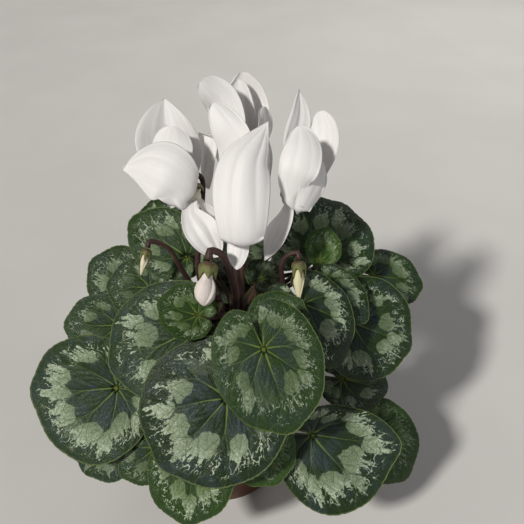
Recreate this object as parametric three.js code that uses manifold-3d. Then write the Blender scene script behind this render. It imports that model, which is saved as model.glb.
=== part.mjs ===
// A cyclamen in its pot: a round tuber half sunk in peat, leaf blades and nodding flowers on
// stalks that all rise from the tuber's crown, and a plain tapered pot with drain holes.
// Millimetres, +Z up, origin at the middle of the pot's underside.
import * as THREE from "three";
import { mergeVertices } from "three/addons/utils/BufferGeometryUtils.js";
import Module from "manifold-3d";

const wasm = await Module();
wasm.setup();

const { degToRad, lerp, smoothstep } = THREE.MathUtils;

// Driving sizes of the pot
const POT_HEIGHT = 75;
const POT_BASE_RADIUS = 27;
const POT_TOP_RADIUS = 37;
const POT_RIM_RADIUS = 40;
const POT_RIM_DEPTH = 9;
const POT_WALL = 1.6;
const POT_FLOOR = 2.2;
const POT_SIDES = 30;
const DRAIN_HOLES = 6;
const DRAIN_RADIUS = 3.5;
const DRAIN_RING_RADIUS = 17;

// Driving sizes of the peat and the tuber
const SEAT_GAP = 0.3;
const SOIL_HEIGHT = 69;
const SOIL_RELIEF = 0.7;
const SOIL_SIDES = 22;
const TUBER_RADIUS = 14;
const TUBER_HEIGHT = 9.5;
const TUBER_SIDES = 16;
const TUBER_CENTRE = new THREE.Vector3(8, 0, 68);
const CROWN_RADIUS = 10;
const ROOT_COUNT = 42;
const ROOT_SPREAD = 8.6;
const CROWN_HEIGHT = 2.6;

// Driving sizes of the leaves and stalks
const BLADE_THICKNESS = 0.9;
const BLADE_RAYS = 22;
const BLADE_RINGS = 2;
const SINUS_HALF_ANGLE = degToRad(6);
const LEAF_CLEARANCE = 0.8;
const PETIOLE_RADIUS = 1.2;
const PETIOLE_SIDES = 5;
const PETIOLE_STEPS = 6;
const LED_PETIOLE_STEPS = 7;
const STALK_RADIUS = 1.35;
const STALK_SAMPLES = 26;
const OWN_BLADE_REACH = 4.5;
const STALK_SIDES = 6;
const STALK_STEPS = 12;

// Faces narrower than this are joined to the ones beside them
const SLIVER = 0.1;

// Driving sizes of the flowers and buds
const PETAL_THICKNESS = 0.8;
const TUBE_RADIUS = 4.4;
const TUBE_LENGTH = 6;
const TUBE_WALL = 1;
const PETAL_BOW = 7;
const PETAL_DIP = 0.8;
const SEPALS = 5;

// The depth of a calyx's dome, as a share of its radius
const BLOOM_CALYX_DOME = 0.42;
const BUD_CALYX_DOME = 1.05;

// The leaves and flowers turn towards the light, which comes from the front and above.
// They are laid out in a frame that faces it: across to the right, rise upwards in the
// plane that faces the light, and near towards it.
const LIGHT_HEIGHT = degToRad(35);
const FACING_ORIGIN = new THREE.Vector3(20, 0, 121);

// The distance, along near, that the layout is seen from
const VIEW_DISTANCE = 330;

const facing = new THREE.Group();
facing.position.copy(FACING_ORIGIN);
facing.rotation.x = Math.PI / 2 - LIGHT_HEIGHT;
facing.updateMatrixWorld(true);

const at = (across, rise, near) => new THREE.Vector3(across, rise, near);
const fromFacing = (point) => point.clone().applyMatrix4(facing.matrixWorld);

// Colours
const finish = (color, roughness = 0.6) =>
  new THREE.MeshStandardMaterial({ color, roughness, metalness: 0 });
const terracotta = finish(0x8a4b32, 0.7);
const peat = finish(0x2b1e16, 1);
const cork = finish(0x6b4a33, 0.9);
const stalkRed = finish(0x5a2c28, 0.5);
const leafGreen = finish(0x2f5a34, 0.45);
const petalWhite = finish(0xf2eef0, 0.5);
const sepalGreen = finish(0x5d5a2c, 0.6);
const budCream = finish(0xe9dcc6, 0.55);

// Closed meshes and solids
function closedGeometry(points, triangles) {
  const geometry = new THREE.BufferGeometry();
  geometry.setAttribute("position", new THREE.Float32BufferAttribute(points.flatMap((p) => p.toArray()), 3));
  geometry.setIndex(triangles);
  return geometry;
}

function toSolid(geometry) {
  const bare = new THREE.BufferGeometry();
  bare.setAttribute("position", geometry.getAttribute("position"));
  if (geometry.index) bare.setIndex(geometry.index);
  const merged = mergeVertices(bare, 1e-4);
  return new wasm.Manifold(
    new wasm.Mesh({
      numProp: 3,
      vertProperties: new Float32Array(merged.attributes.position.array),
      triVerts: new Uint32Array(merged.index.array),
    }),
  );
}

function toGeometry(solid) {
  const { vertProperties, triVerts } = solid.getMesh();
  const geometry = new THREE.BufferGeometry();
  geometry.setAttribute("position", new THREE.BufferAttribute(vertProperties, 3));
  geometry.setIndex(new THREE.BufferAttribute(triVerts, 1));
  return geometry;
}

function largestBody(solid) {
  return solid.decompose().sort((a, b) => b.volume() - a.volume())[0];
}

function named(name, geometry, material) {
  const mesh = new THREE.Mesh(geometry, material);
  mesh.name = name;
  return mesh;
}

// A solid that turns about the pot's axis, from a closed outline of [radius, height] points
function turned(outline, sides) {
  const points = outline.map(([radius, height]) => new THREE.Vector2(radius, height));
  const geometry = new THREE.LatheGeometry(points, sides);
  geometry.rotateX(Math.PI / 2);
  return toSolid(geometry);
}

// A round stalk along a curve, with its radius at the foot and at the tip
function stalkSolid(curve, footRadius, tipRadius, sides, steps, endNormal = null) {
  const frames = curve.computeFrenetFrames(steps, false);
  const points = [];
  for (let step = 0; step <= steps; step++) {
    const along = step / steps;
    const centre = curve.getPointAt(along);
    const radius = lerp(footRadius, tipRadius, along);
    for (let side = 0; side < sides; side++) {
      const angle = (side / sides) * 2 * Math.PI;
      const reach = frames.normals[step]
        .clone()
        .multiplyScalar(radius * Math.cos(angle))
        .addScaledVector(frames.binormals[step], radius * Math.sin(angle));
      if (endNormal && step === steps) slideOnto(reach, endNormal, frames.tangents[step]);
      points.push(reach.add(centre));
    }
  }
  const triangles = [];
  for (let step = 0; step < steps; step++)
    for (let side = 0; side < sides; side++) {
      const a = step * sides + side;
      const b = step * sides + ((side + 1) % sides);
      triangles.push(a, b, b + sides, a, b + sides, a + sides);
    }
  const top = steps * sides;
  for (let side = 1; side < sides - 1; side++) {
    triangles.push(0, side + 1, side);
    triangles.push(top, top + side, top + side + 1);
  }
  return outwards(toSolid(closedGeometry(points, triangles)), points, triangles);
}

// Slides a point along a direction onto the plane through the origin that has this normal
function slideOnto(point, normal, direction) {
  return point.addScaledVector(direction, -point.dot(normal) / direction.dot(normal));
}

// Turns a solid's faces round where they point inwards
function outwards(solid, points, triangles) {
  if (solid.volume() > 0) return solid;
  const flipped = [];
  for (let i = 0; i < triangles.length; i += 3)
    flipped.push(triangles[i], triangles[i + 2], triangles[i + 1]);
  return toSolid(closedGeometry(points, flipped));
}

// Pot
function makePot() {
  const rimFoot = POT_HEIGHT - POT_RIM_DEPTH;
  const shell = turned(
    [
      [0, 0],
      [POT_BASE_RADIUS, 0],
      [POT_TOP_RADIUS, rimFoot],
      [POT_RIM_RADIUS, rimFoot + 1],
      [POT_RIM_RADIUS + 0.4, POT_HEIGHT - 1],
      [POT_RIM_RADIUS - 0.6, POT_HEIGHT],
      [potInnerRadius(POT_HEIGHT) + 0.6, POT_HEIGHT],
      [potInnerRadius(POT_HEIGHT), POT_HEIGHT - 1],
      [potInnerRadius(POT_FLOOR), POT_FLOOR],
      [0, POT_FLOOR],
    ],
    POT_SIDES,
  );
  let pot = shell;
  for (let hole = 0; hole < DRAIN_HOLES; hole++) {
    const angle = ((hole + 0.5) / DRAIN_HOLES) * 2 * Math.PI;
    const drill = new THREE.CylinderGeometry(DRAIN_RADIUS, DRAIN_RADIUS, 3 * POT_FLOOR, 12);
    drill.rotateX(Math.PI / 2);
    drill.translate(DRAIN_RING_RADIUS * Math.cos(angle), DRAIN_RING_RADIUS * Math.sin(angle), POT_FLOOR / 2);
    pot = pot.subtract(toSolid(drill));
  }
  return named("pot", toGeometry(pot), terracotta);
}

function potInnerRadius(height) {
  const share = height / (POT_HEIGHT - POT_RIM_DEPTH);
  return lerp(POT_BASE_RADIUS, POT_TOP_RADIUS, share) - POT_WALL;
}

// Tuber, a flattened round body with a low raised crown
function tuberSolid(grow) {
  const body = new THREE.SphereGeometry(1, TUBER_SIDES, TUBER_SIDES / 2);
  body.rotateX(Math.PI / 2);
  body.scale(TUBER_RADIUS + grow, TUBER_RADIUS + grow, TUBER_HEIGHT + grow);
  body.translate(...TUBER_CENTRE);
  return toSolid(body);
}

function makeTuber() {
  return named("tuber", toGeometry(tuberSolid(0)), cork);
}

// Peat, filling the pot to a little under its rim, with an uneven top and a hole for the tuber
function makeSoil() {
  const foot = POT_FLOOR + SEAT_GAP;
  const edge = potInnerRadius(SOIL_HEIGHT) - SEAT_GAP;
  const outline = [
    [0, foot],
    [potInnerRadius(foot) - SEAT_GAP, foot],
    [edge, SOIL_HEIGHT],
    [edge * 0.8, SOIL_HEIGHT + 1],
    [edge * 0.58, SOIL_HEIGHT + 1.6],
    [edge * 0.3, SOIL_HEIGHT + 2],
    [0, SOIL_HEIGHT + 2.2],
  ];
  const points = outline.map(([radius, height]) => new THREE.Vector2(radius, height));
  const geometry = new THREE.LatheGeometry(points, SOIL_SIDES);
  geometry.rotateX(Math.PI / 2);
  const place = geometry.getAttribute("position");
  for (let i = 0; i < place.count; i++) {
    const [x, y, z] = [place.getX(i), place.getY(i), place.getZ(i)];
    if (z > SOIL_HEIGHT - 0.5)
      place.setZ(i, z + SOIL_RELIEF * Math.sin(x * 0.45 + 1) * Math.cos(y * 0.52 - x * 0.2));
  }
  return named("soil", toGeometry(largestBody(toSolid(geometry).subtract(tuberSolid(SEAT_GAP)))), peat);
}

// Leaf blades. Each row is one leaf, from the nearest to the farthest. across, rise and near
// place the point where its stalk meets the blade. point is the way its tip points in the
// facing plane, anticlockwise from across. turn and nod swing its face to the right and
// upwards, in degrees. length runs from that point to the tip, half is the half width and
// back the length of the two lobes behind the stalk. skew widens the left half, seen towards
// the tip, and narrows the right. fold is the slope of the valley along the midrib, dome the
// drop of the edges, and wave the height of the edge's waves. over leads a stalk over the
// pot's rim, by places in the plant.
const LEAVES = [
  { name: "leaf_01", across: 0.7, rise: -31.6, near: 44, point: -72, turn: 4, nod: 4,
    length: 31.3, half: 20.5, back: 19.6, skew: 0, fold: 0.03, dome: 0.1, wave: 0.5 },
  { name: "leaf_02", across: -24.7, rise: -20.5, near: 27, point: 163, turn: 10, nod: 8,
    length: 15.5, half: 11, back: 7, skew: 0, fold: 0.22, dome: -0.12, wave: 0.3 },
  { name: "leaf_03", across: -13.2, rise: -51.6, near: 33, point: -134, turn: -4, nod: 2,
    length: 37.2, half: 29.4, back: 21.6, skew: 0, fold: 0.06, dome: 0.12, wave: 0.6 },
  { name: "leaf_04", across: -28.4, rise: -27.2, near: 18, point: -156, turn: -12, nod: 8,
    length: 37, half: 23.7, back: 17, skew: 0, fold: 0.1, dome: 0.1, wave: 0.6 },
  { name: "leaf_05", across: 5, rise: -26.5, near: 24, point: 50, turn: 4, nod: 6,
    length: 15, half: 14, back: 9, skew: 0, fold: 0.05, dome: -0.1, wave: 0.4 },
  { name: "leaf_06", across: 16.5, rise: -17, near: 14, point: -57, turn: 14, nod: 8,
    length: 28, half: 18, back: 14, skew: 0, fold: 0.02, dome: 0.12, wave: 0.5 },
  { name: "leaf_07", across: 28.4, rise: -9.6, near: 2, point: -42, turn: 16, nod: 16,
    length: 21, half: 11, back: 10, skew: 0, fold: 0.05, dome: 0.1, wave: 0.4 },
  { name: "leaf_08", across: 38.7, rise: -25.8, near: -8, point: -22, turn: 12, nod: 8,
    length: 29, half: 23, back: 15, skew: 0, fold: 0.06, dome: 0.1, wave: 0.7 },
  { name: "leaf_15", across: -2, rise: -71.5, near: 16, point: -66, turn: 8, nod: 2,
    length: 19, half: 14, back: 9, skew: 0, fold: 0.1, dome: 0.06, wave: 0.5 },
  { name: "leaf_09", across: 20.5, rise: -70.7, near: 8, point: -11.4, turn: 6, nod: -4,
    length: 37.4, half: 22.5, back: 14, skew: -0.36, fold: 0.2, dome: 0.06, wave: 0.7 },
  { name: "leaf_10", across: -59.4, rise: -51.7, near: 8, point: -175, turn: -10, nod: -2,
    length: 38.5, half: 27, back: 16, skew: 0.14, fold: 0.2, dome: 0.08, wave: 0.7 },
  { name: "leaf_11", across: -31.9, rise: 2.1, near: -4, point: 146, turn: -10, nod: 10,
    length: 31, half: 14.5, back: 9, skew: 0, fold: 0.08, dome: 0.08, wave: 0.6 },
  { name: "leaf_12", across: -48.4, rise: -11.2, near: -10, point: 176, turn: -12, nod: 10,
    length: 20, half: 13, back: 9, skew: 0, fold: 0.08, dome: 0.08, wave: 0.4 },
  { name: "leaf_13", across: -62.7, rise: -27.4, near: -12, point: -179, turn: -14, nod: 6,
    length: 24.5, half: 13.5, back: 9, skew: 0, fold: 0.15, dome: -0.05, wave: 0.6 },
  { name: "leaf_14", across: -27.9, rise: -77.6, near: 14, point: -96, turn: -4, nod: -4,
    length: 29.5, half: 18, back: 13, skew: 0, fold: 0.05, dome: 0.1, wave: 0.5 },
  { name: "leaf_16", across: -43.7, rise: -76, near: 9, point: -141, turn: -14, nod: 2,
    length: 19.5, half: 11.5, back: 8, skew: 0, fold: 0.05, dome: 0.08, wave: 0.4,
    over: [[-6, -16, 88], [-20, -38, 80], [-24, -42, 70]] },
  { name: "leaf_17", across: -41.7, rise: -64.5, near: 9, point: -143, turn: -18, nod: 2,
    length: 22, half: 11, back: 7, skew: 0, fold: 0.08, dome: 0.08, wave: 0.3,
    over: [[-4, -12, 89], [-15.5, -36, 83], [-18.5, -41, 77]] },
  { name: "leaf_18", across: -62.9, rise: -72.2, near: -4, point: -128, turn: -14, nod: 0,
    length: 24, half: 17, back: 11, skew: 0, fold: 0.05, dome: 0.1, wave: 0.5,
    over: [[-14, -12, 88], [-32, -25, 81], [-37.5, -28, 68]] },
  { name: "leaf_19", across: -57.2, rise: -12.6, near: -24, point: 149, turn: -12, nod: 10,
    length: 26, half: 16.5, back: 12, skew: 0, fold: 0.1, dome: 0.08, wave: 0.5 },
  { name: "leaf_20", across: 35.2, rise: -51, near: -16, point: -16, turn: 16, nod: 4,
    length: 23, half: 14, back: 11, skew: 0, fold: 0.05, dome: 0.1, wave: 0.5 },
  { name: "leaf_21", across: 24.5, rise: 0.5, near: -6, point: 76, turn: 12, nod: 24,
    length: 14, half: 8, back: 4, skew: 0, fold: 0.3, dome: -0.25, wave: 0.8 },
  { name: "leaf_22", across: -0.4, rise: -7.2, near: -2, point: 42, turn: 10, nod: 24,
    length: 9.5, half: 8.4, back: 6, skew: 0, fold: 0.05, dome: -0.05, wave: 0.3 },
  { name: "leaf_23", across: 24.5, rise: 3.5, near: -18, point: 60, turn: 10, nod: 24,
    length: 30, half: 23, back: 14, skew: 0, fold: 0.14, dome: 0.06, wave: 0.6 },
  { name: "leaf_24", across: 52, rise: -6, near: -34, point: -9, turn: 16, nod: 30,
    length: 24, half: 15, back: 10, skew: 0, fold: 0.1, dome: 0.06, wave: 0.5 },
  { name: "leaf_25", across: 50, rise: -73, near: -20, point: -56, turn: 18, nod: 6,
    length: 29, half: 17, back: 12, skew: 0, fold: 0.05, dome: 0.1, wave: 0.6 },
  { name: "leaf_26", across: -44.3, rise: 11.6, near: -22, point: 109, turn: -10, nod: 12,
    length: 18, half: 12, back: 8, skew: 0, fold: 0.05, dome: 0.08, wave: 0.4 },
];

// The leaves at the back lie flatter. x, y and z place the point where the stalk meets the
// blade, heading is the way the tip points, anticlockwise from +x, and drop how far the tip
// leans down, in degrees.
const BACK_LEAVES = [
  { name: "leaf_27", x: -34, y: 33, z: 92, heading: 142, drop: 16,
    length: 27, half: 19, back: 13, skew: 0, fold: 0.05, dome: 0.12, wave: 0.6 },
  { name: "leaf_28", x: -6, y: 33, z: 104, heading: 104, drop: 6,
    length: 28, half: 21, back: 14, skew: 0, fold: 0.05, dome: 0.12, wave: 0.6 },
  { name: "leaf_29", x: 26, y: 36, z: 101, heading: 66, drop: 6,
    length: 29, half: 20, back: 14, skew: 0, fold: 0.05, dome: 0.12, wave: 0.6 },
  { name: "leaf_30", x: 50, y: 26, z: 90, heading: 28, drop: 22,
    length: 27, half: 18, back: 12, skew: 0, fold: 0.05, dome: 0.12, wave: 0.6 },
  { name: "leaf_31", x: 8, y: 34, z: 85, heading: 88, drop: -12,
    length: 22, half: 18, back: 13, skew: 0, fold: 0.05, dome: 0.1, wave: 0.5 },
];

// The outline's distance from the stalk point, in the direction angle from the tip
function bladeReach(leaf, angle) {
  const middle = (leaf.length - leaf.back) / 2;
  const along = (leaf.length + leaf.back) / 2;
  const [c, s] = [Math.cos(angle), Math.sin(angle)];
  const half = leaf.half * (1 + leaf.skew * Math.sign(angle));
  const a = (c / along) ** 2 + (s / half) ** 2;
  const b = (-2 * c * middle) / along ** 2;
  const d = (middle / along) ** 2 - 1;
  const ellipse = (-b + Math.sqrt(b * b - 4 * a * d)) / (2 * a);
  const tip = 1 + 0.05 * Math.exp(-((angle / 0.16) ** 2));
  const lobe = 1 - 0.3 * Math.exp(-(((Math.PI - Math.abs(angle)) / 0.3) ** 2));
  return ellipse * tip * lobe;
}

// The blade's height over its own plane at x towards the tip and y to its left
function bladeHeight(leaf, x, y) {
  const [u, v] = [x / leaf.length, y / leaf.length];
  const angle = Math.atan2(y, x);
  const edge = Math.min(1.2, Math.hypot(x, y) / bladeReach(leaf, angle));
  const valley = leaf.fold * (Math.sqrt(v * v + 0.0036) - 0.06);
  const wave = (leaf.wave * edge ** 3 * Math.sin(5 * angle + leaf.length)) / leaf.length;
  return leaf.length * (valley - leaf.dome * (u * u + v * v) + wave);
}

// The blade's axes in the facing frame: tip direction, left side and face
function bladeAxes(leaf) {
  const [turn, nod, point] = [leaf.turn, leaf.nod, leaf.point].map(degToRad);
  const face = new THREE.Vector3(
    Math.sin(turn) * Math.cos(nod),
    Math.sin(nod),
    Math.cos(turn) * Math.cos(nod),
  );
  const tip = new THREE.Vector3(Math.cos(point), Math.sin(point), 0);
  tip.z = -tip.dot(face) / face.z;
  tip.normalize();
  return [tip, face.clone().cross(tip), face];
}

function facingMatrix(leaf) {
  return new THREE.Matrix4().makeBasis(...bladeAxes(leaf)).setPosition(leaf.across, leaf.rise, leaf.near);
}

function backMatrix(leaf) {
  const [heading, drop] = [leaf.heading, leaf.drop].map(degToRad);
  const tip = new THREE.Vector3(
    Math.cos(heading) * Math.cos(drop),
    Math.sin(heading) * Math.cos(drop),
    -Math.sin(drop),
  );
  const left = new THREE.Vector3(-Math.sin(heading), Math.cos(heading), 0);
  const face = tip.clone().cross(left);
  return new THREE.Matrix4().makeBasis(tip, left, face).setPosition(leaf.x, leaf.y, leaf.z);
}

// Where a blade lies in the plant
function bladeMatrix(leaf) {
  if ("heading" in leaf) return backMatrix(leaf);
  return facing.matrixWorld.clone().multiply(facingMatrix(leaf));
}

// The rays' angles from the tip, from one lobe's edge round to the other's
const RAY_ANGLES = Array.from({ length: BLADE_RAYS + 1 }, (_, ray) => {
  return (Math.PI - SINUS_HALF_ANGLE) * (-1 + (2 * ray) / BLADE_RAYS);
});

// A blade in its own plane: rings of points round the stalk point, on its face and its back
function bladeGeometry(leaf) {
  const face = [new THREE.Vector3(0, 0, bladeHeight(leaf, 0, 0))];
  for (let ring = 1; ring <= BLADE_RINGS; ring++)
    for (const angle of RAY_ANGLES) {
      const reach = bladeReach(leaf, angle) * (ring / BLADE_RINGS) ** 0.85;
      const [x, y] = [reach * Math.cos(angle), reach * Math.sin(angle)];
      face.push(new THREE.Vector3(x, y, bladeHeight(leaf, x, y)));
    }
  const rays = RAY_ANGLES.length;
  const count = face.length;
  const points = [...face, ...face.map((p) => p.clone().setZ(p.z - BLADE_THICKNESS))];
  const index = (ring, ray) => (ring === 0 ? 0 : 1 + (ring - 1) * rays + ray);
  const triangles = [];
  const both = (a, b, c) => triangles.push(a, b, c, a + count, c + count, b + count);
  const wall = (a, b) => triangles.push(a, a + count, b + count, a, b + count, b);
  for (let ray = 0; ray < rays - 1; ray++) {
    both(0, index(1, ray), index(1, ray + 1));
    for (let ring = 1; ring < BLADE_RINGS; ring++) {
      both(index(ring, ray), index(ring + 1, ray), index(ring + 1, ray + 1));
      both(index(ring, ray), index(ring + 1, ray + 1), index(ring, ray + 1));
    }
    wall(index(BLADE_RINGS, ray), index(BLADE_RINGS, ray + 1));
  }
  for (let ring = 0; ring < BLADE_RINGS; ring++) {
    wall(index(ring, 0), index(ring + 1, 0));
    wall(index(ring + 1, rays - 1), index(ring, rays - 1));
  }
  return closedGeometry(points, triangles);
}

// How far a point lies over a blade's face, or null outside its outline
function heightOver(leaf, toBlade, point, margin) {
  const p = point.clone().applyMatrix4(toBlade);
  if (p.length() > leaf.length * 1.3 + margin) return null;
  const reach = bladeReach(leaf, Math.atan2(p.y, p.x)) + margin;
  if (Math.hypot(p.x, p.y) > reach) return null;
  return p.z - bladeHeight(leaf, p.x, p.y);
}

// Sets each blade back from the ones in front of it, so that no two meet
function layLeaves() {
  const laid = [];
  for (const leaf of LEAVES) {
    let samples = surfaceSamples(leaf);
    for (let round = 0; round < 12; round++) {
      const depth = Math.max(0, ...laid.map((cells) => overlapDepth(samples, cells)));
      if (depth === 0) break;
      setBack(leaf, depth);
      samples = surfaceSamples(leaf);
    }
    laid.push(cellsOf(samples));
  }
}

// Moves a blade away along the line it is seen on, so that it stays where it appears
function setBack(leaf, depth) {
  const share = 1 + depth / (VIEW_DISTANCE - leaf.near);
  leaf.across *= share;
  leaf.rise *= share;
  leaf.near -= depth;
}

// Points over a blade's face, in the facing frame, fine enough to meet any other blade's
function surfaceSamples(leaf) {
  const matrix = facingMatrix(leaf);
  const samples = [];
  const step = 1.6;
  const reach = Math.max(leaf.length, leaf.half, leaf.back) * 1.1;
  for (let x = -reach; x <= reach; x += step)
    for (let y = -reach; y <= reach; y += step)
      if (Math.hypot(x, y) <= bladeReach(leaf, Math.atan2(y, x)) + 0.8)
        samples.push(new THREE.Vector3(x, y, bladeHeight(leaf, x, y)).applyMatrix4(matrix));
  return samples;
}

const CELL = 2;
const cellKey = (x, y) => `${Math.floor(x / CELL)},${Math.floor(y / CELL)}`;

// The lowest point of a blade in each small square of the facing plane
function cellsOf(samples) {
  const cells = new Map();
  for (const p of samples) {
    const key = cellKey(p.x, p.y);
    cells.set(key, Math.min(cells.get(key) ?? Infinity, p.z));
  }
  return cells;
}

function overlapDepth(samples, cells) {
  let depth = 0;
  for (const p of samples) {
    const low = cells.get(cellKey(p.x, p.y));
    if (low !== undefined) depth = Math.max(depth, p.z - low + BLADE_THICKNESS + LEAF_CLEARANCE);
  }
  return depth;
}

function makeLeaf(leaf) {
  const mesh = named(leaf.name, bladeGeometry(leaf), leafGreen);
  mesh.applyMatrix4(bladeMatrix(leaf));
  return mesh;
}

// Leaf stalks. Each bends from the crown to its blade, on the way that is clearest of the others
const CROWN_TOP = TUBER_CENTRE.clone().setZ(TUBER_CENTRE.z + TUBER_HEIGHT + SEAT_GAP + CROWN_HEIGHT / 2);

const UPWARDS = new THREE.Vector3(0, 0, 1);
const GOLDEN_ANGLE = degToRad(137.5);

// Places on the crown for stalks to rise from, spread evenly over it like seeds in a sunflower
const freeRoots = Array.from({ length: ROOT_COUNT }, (_, i) => {
  const radius = ROOT_SPREAD * Math.sqrt((i + 0.5) / ROOT_COUNT);
  const angle = i * GOLDEN_ANGLE;
  return CROWN_TOP.clone().add(new THREE.Vector3(radius * Math.cos(angle), radius * Math.sin(angle), 0));
});

// Takes the free place nearest to a wish
function takeRoot(wish) {
  const distances = freeRoots.map((root) => root.distanceTo(wish));
  return freeRoots.splice(distances.indexOf(Math.min(...distances)), 1)[0];
}

function outwardTo(place) {
  return place.clone().sub(CROWN_TOP).setZ(0).normalize();
}

function petioleCurve(leaf, root, { swing, lift, slant, hang, depth }) {
  const matrix = bladeMatrix(leaf);
  const tip = new THREE.Vector3(0, 0, -BLADE_THICKNESS - SEAT_GAP).applyMatrix4(matrix);
  const outward = outwardTo(tip);
  const run = tip.distanceTo(root);
  const side = new THREE.Vector3(-outward.y, outward.x, 0);
  const below = new THREE.Vector3(-slant, 0, -1).transformDirection(matrix);
  const start = root
    .clone()
    .addScaledVector(UPWARDS, run * lift)
    .addScaledVector(outward, run * 0.12)
    .addScaledVector(side, run * swing);
  const end = tip.clone().addScaledVector(below, run * depth).addScaledVector(UPWARDS, run * hang);
  return new THREE.CubicBezierCurve3(root, start, end, tip);
}

// How far a place sinks into the peat or the pot's rim, for a stalk's middle
function potClash(place) {
  const radius = Math.hypot(place.x, place.y);
  const room = PETIOLE_RADIUS + 0.8;
  if (radius > POT_RIM_RADIUS + room) return 0;
  const top = radius > POT_TOP_RADIUS - POT_WALL - room ? POT_HEIGHT : SOIL_HEIGHT + 3;
  return Math.max(0, top + room - place.z);
}

// Places along the buds and the stalks laid so far, away from the crown where they rise side
// by side, each with the radius that another stalk's surface keeps clear of
const laid = [];

function layStalk(curve, radius) {
  for (let step = 3; step < STALK_SAMPLES; step++)
    laid.push({ place: curve.getPoint(step / STALK_SAMPLES), radius });
}

function layBud(bud) {
  const { top, end } = budHead(bud);
  for (let step = 0; step <= 8; step++)
    laid.push({ place: fromFacing(top.clone().lerp(end, step / 8)), radius: Math.max(bud.swell, bud.calyx) });
}

function clashOf(curve, leaf, blades) {
  let clash = 0;
  const end = curve.getPoint(1);
  for (let step = 2; step < STALK_SAMPLES; step++) {
    const point = curve.getPoint(step / STALK_SAMPLES);
    clash += potClash(point);
    for (const other of laid) {
      const room = other.radius + PETIOLE_RADIUS + 0.5;
      const apart = point.distanceTo(other.place);
      if (apart < room) clash += 0.3 * (room - apart);
    }
    for (const blade of blades) {
      if (blade.leaf === leaf && point.distanceTo(end) < OWN_BLADE_REACH) continue;
      const height = heightOver(blade.leaf, blade.toBlade, point, PETIOLE_RADIUS + 0.6);
      if (height === null) continue;
      const room = PETIOLE_RADIUS + 0.7;
      const over = height > 0 ? height : -height - BLADE_THICKNESS;
      if (over < room) clash += 1 + (room - over);
    }
  }
  return clash;
}

// The stalk of a leaf that hangs in front of the pot, led over the rim by hand
function ledPetiole(leaf, root) {
  const matrix = bladeMatrix(leaf);
  const behind = (back, down) => new THREE.Vector3(-back, 0, -BLADE_THICKNESS - down).applyMatrix4(matrix);
  const led = leaf.over.map((p) => at(...p));
  const way = [root, ...led, behind(4, 2.6), behind(0, SEAT_GAP)];
  return new THREE.CatmullRomCurve3(way, false, "centripetal");
}

function petioleFor(leaf, blades) {
  const junction = new THREE.Vector3().setFromMatrixPosition(bladeMatrix(leaf));
  const root = takeRoot(CROWN_TOP.clone().addScaledVector(outwardTo(junction), ROOT_SPREAD));
  if (leaf.over) return ledPetiole(leaf, root);
  let best = null;
  for (const depth of [0.3, 0.18, 0.42])
    for (const hang of [0, 0.2, 0.4])
      for (const slant of [0.35, 0.9, 1.8, 3])
        for (const swing of [0, 0.12, -0.12, 0.24, -0.24, 0.4, -0.4])
          for (const lift of [0.34, 0.2, 0.5, 0.7, 0.9]) {
            const curve = petioleCurve(leaf, root, { swing, lift, slant, hang, depth });
            const bend = Math.abs(swing) + Math.abs(lift - 0.34) + 0.3 * slant + hang;
            const cost = clashOf(curve, leaf, blades) * 10 + bend;
            if (!best || cost < best.cost) best = { curve, cost };
          }
  return best.curve;
}

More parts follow.
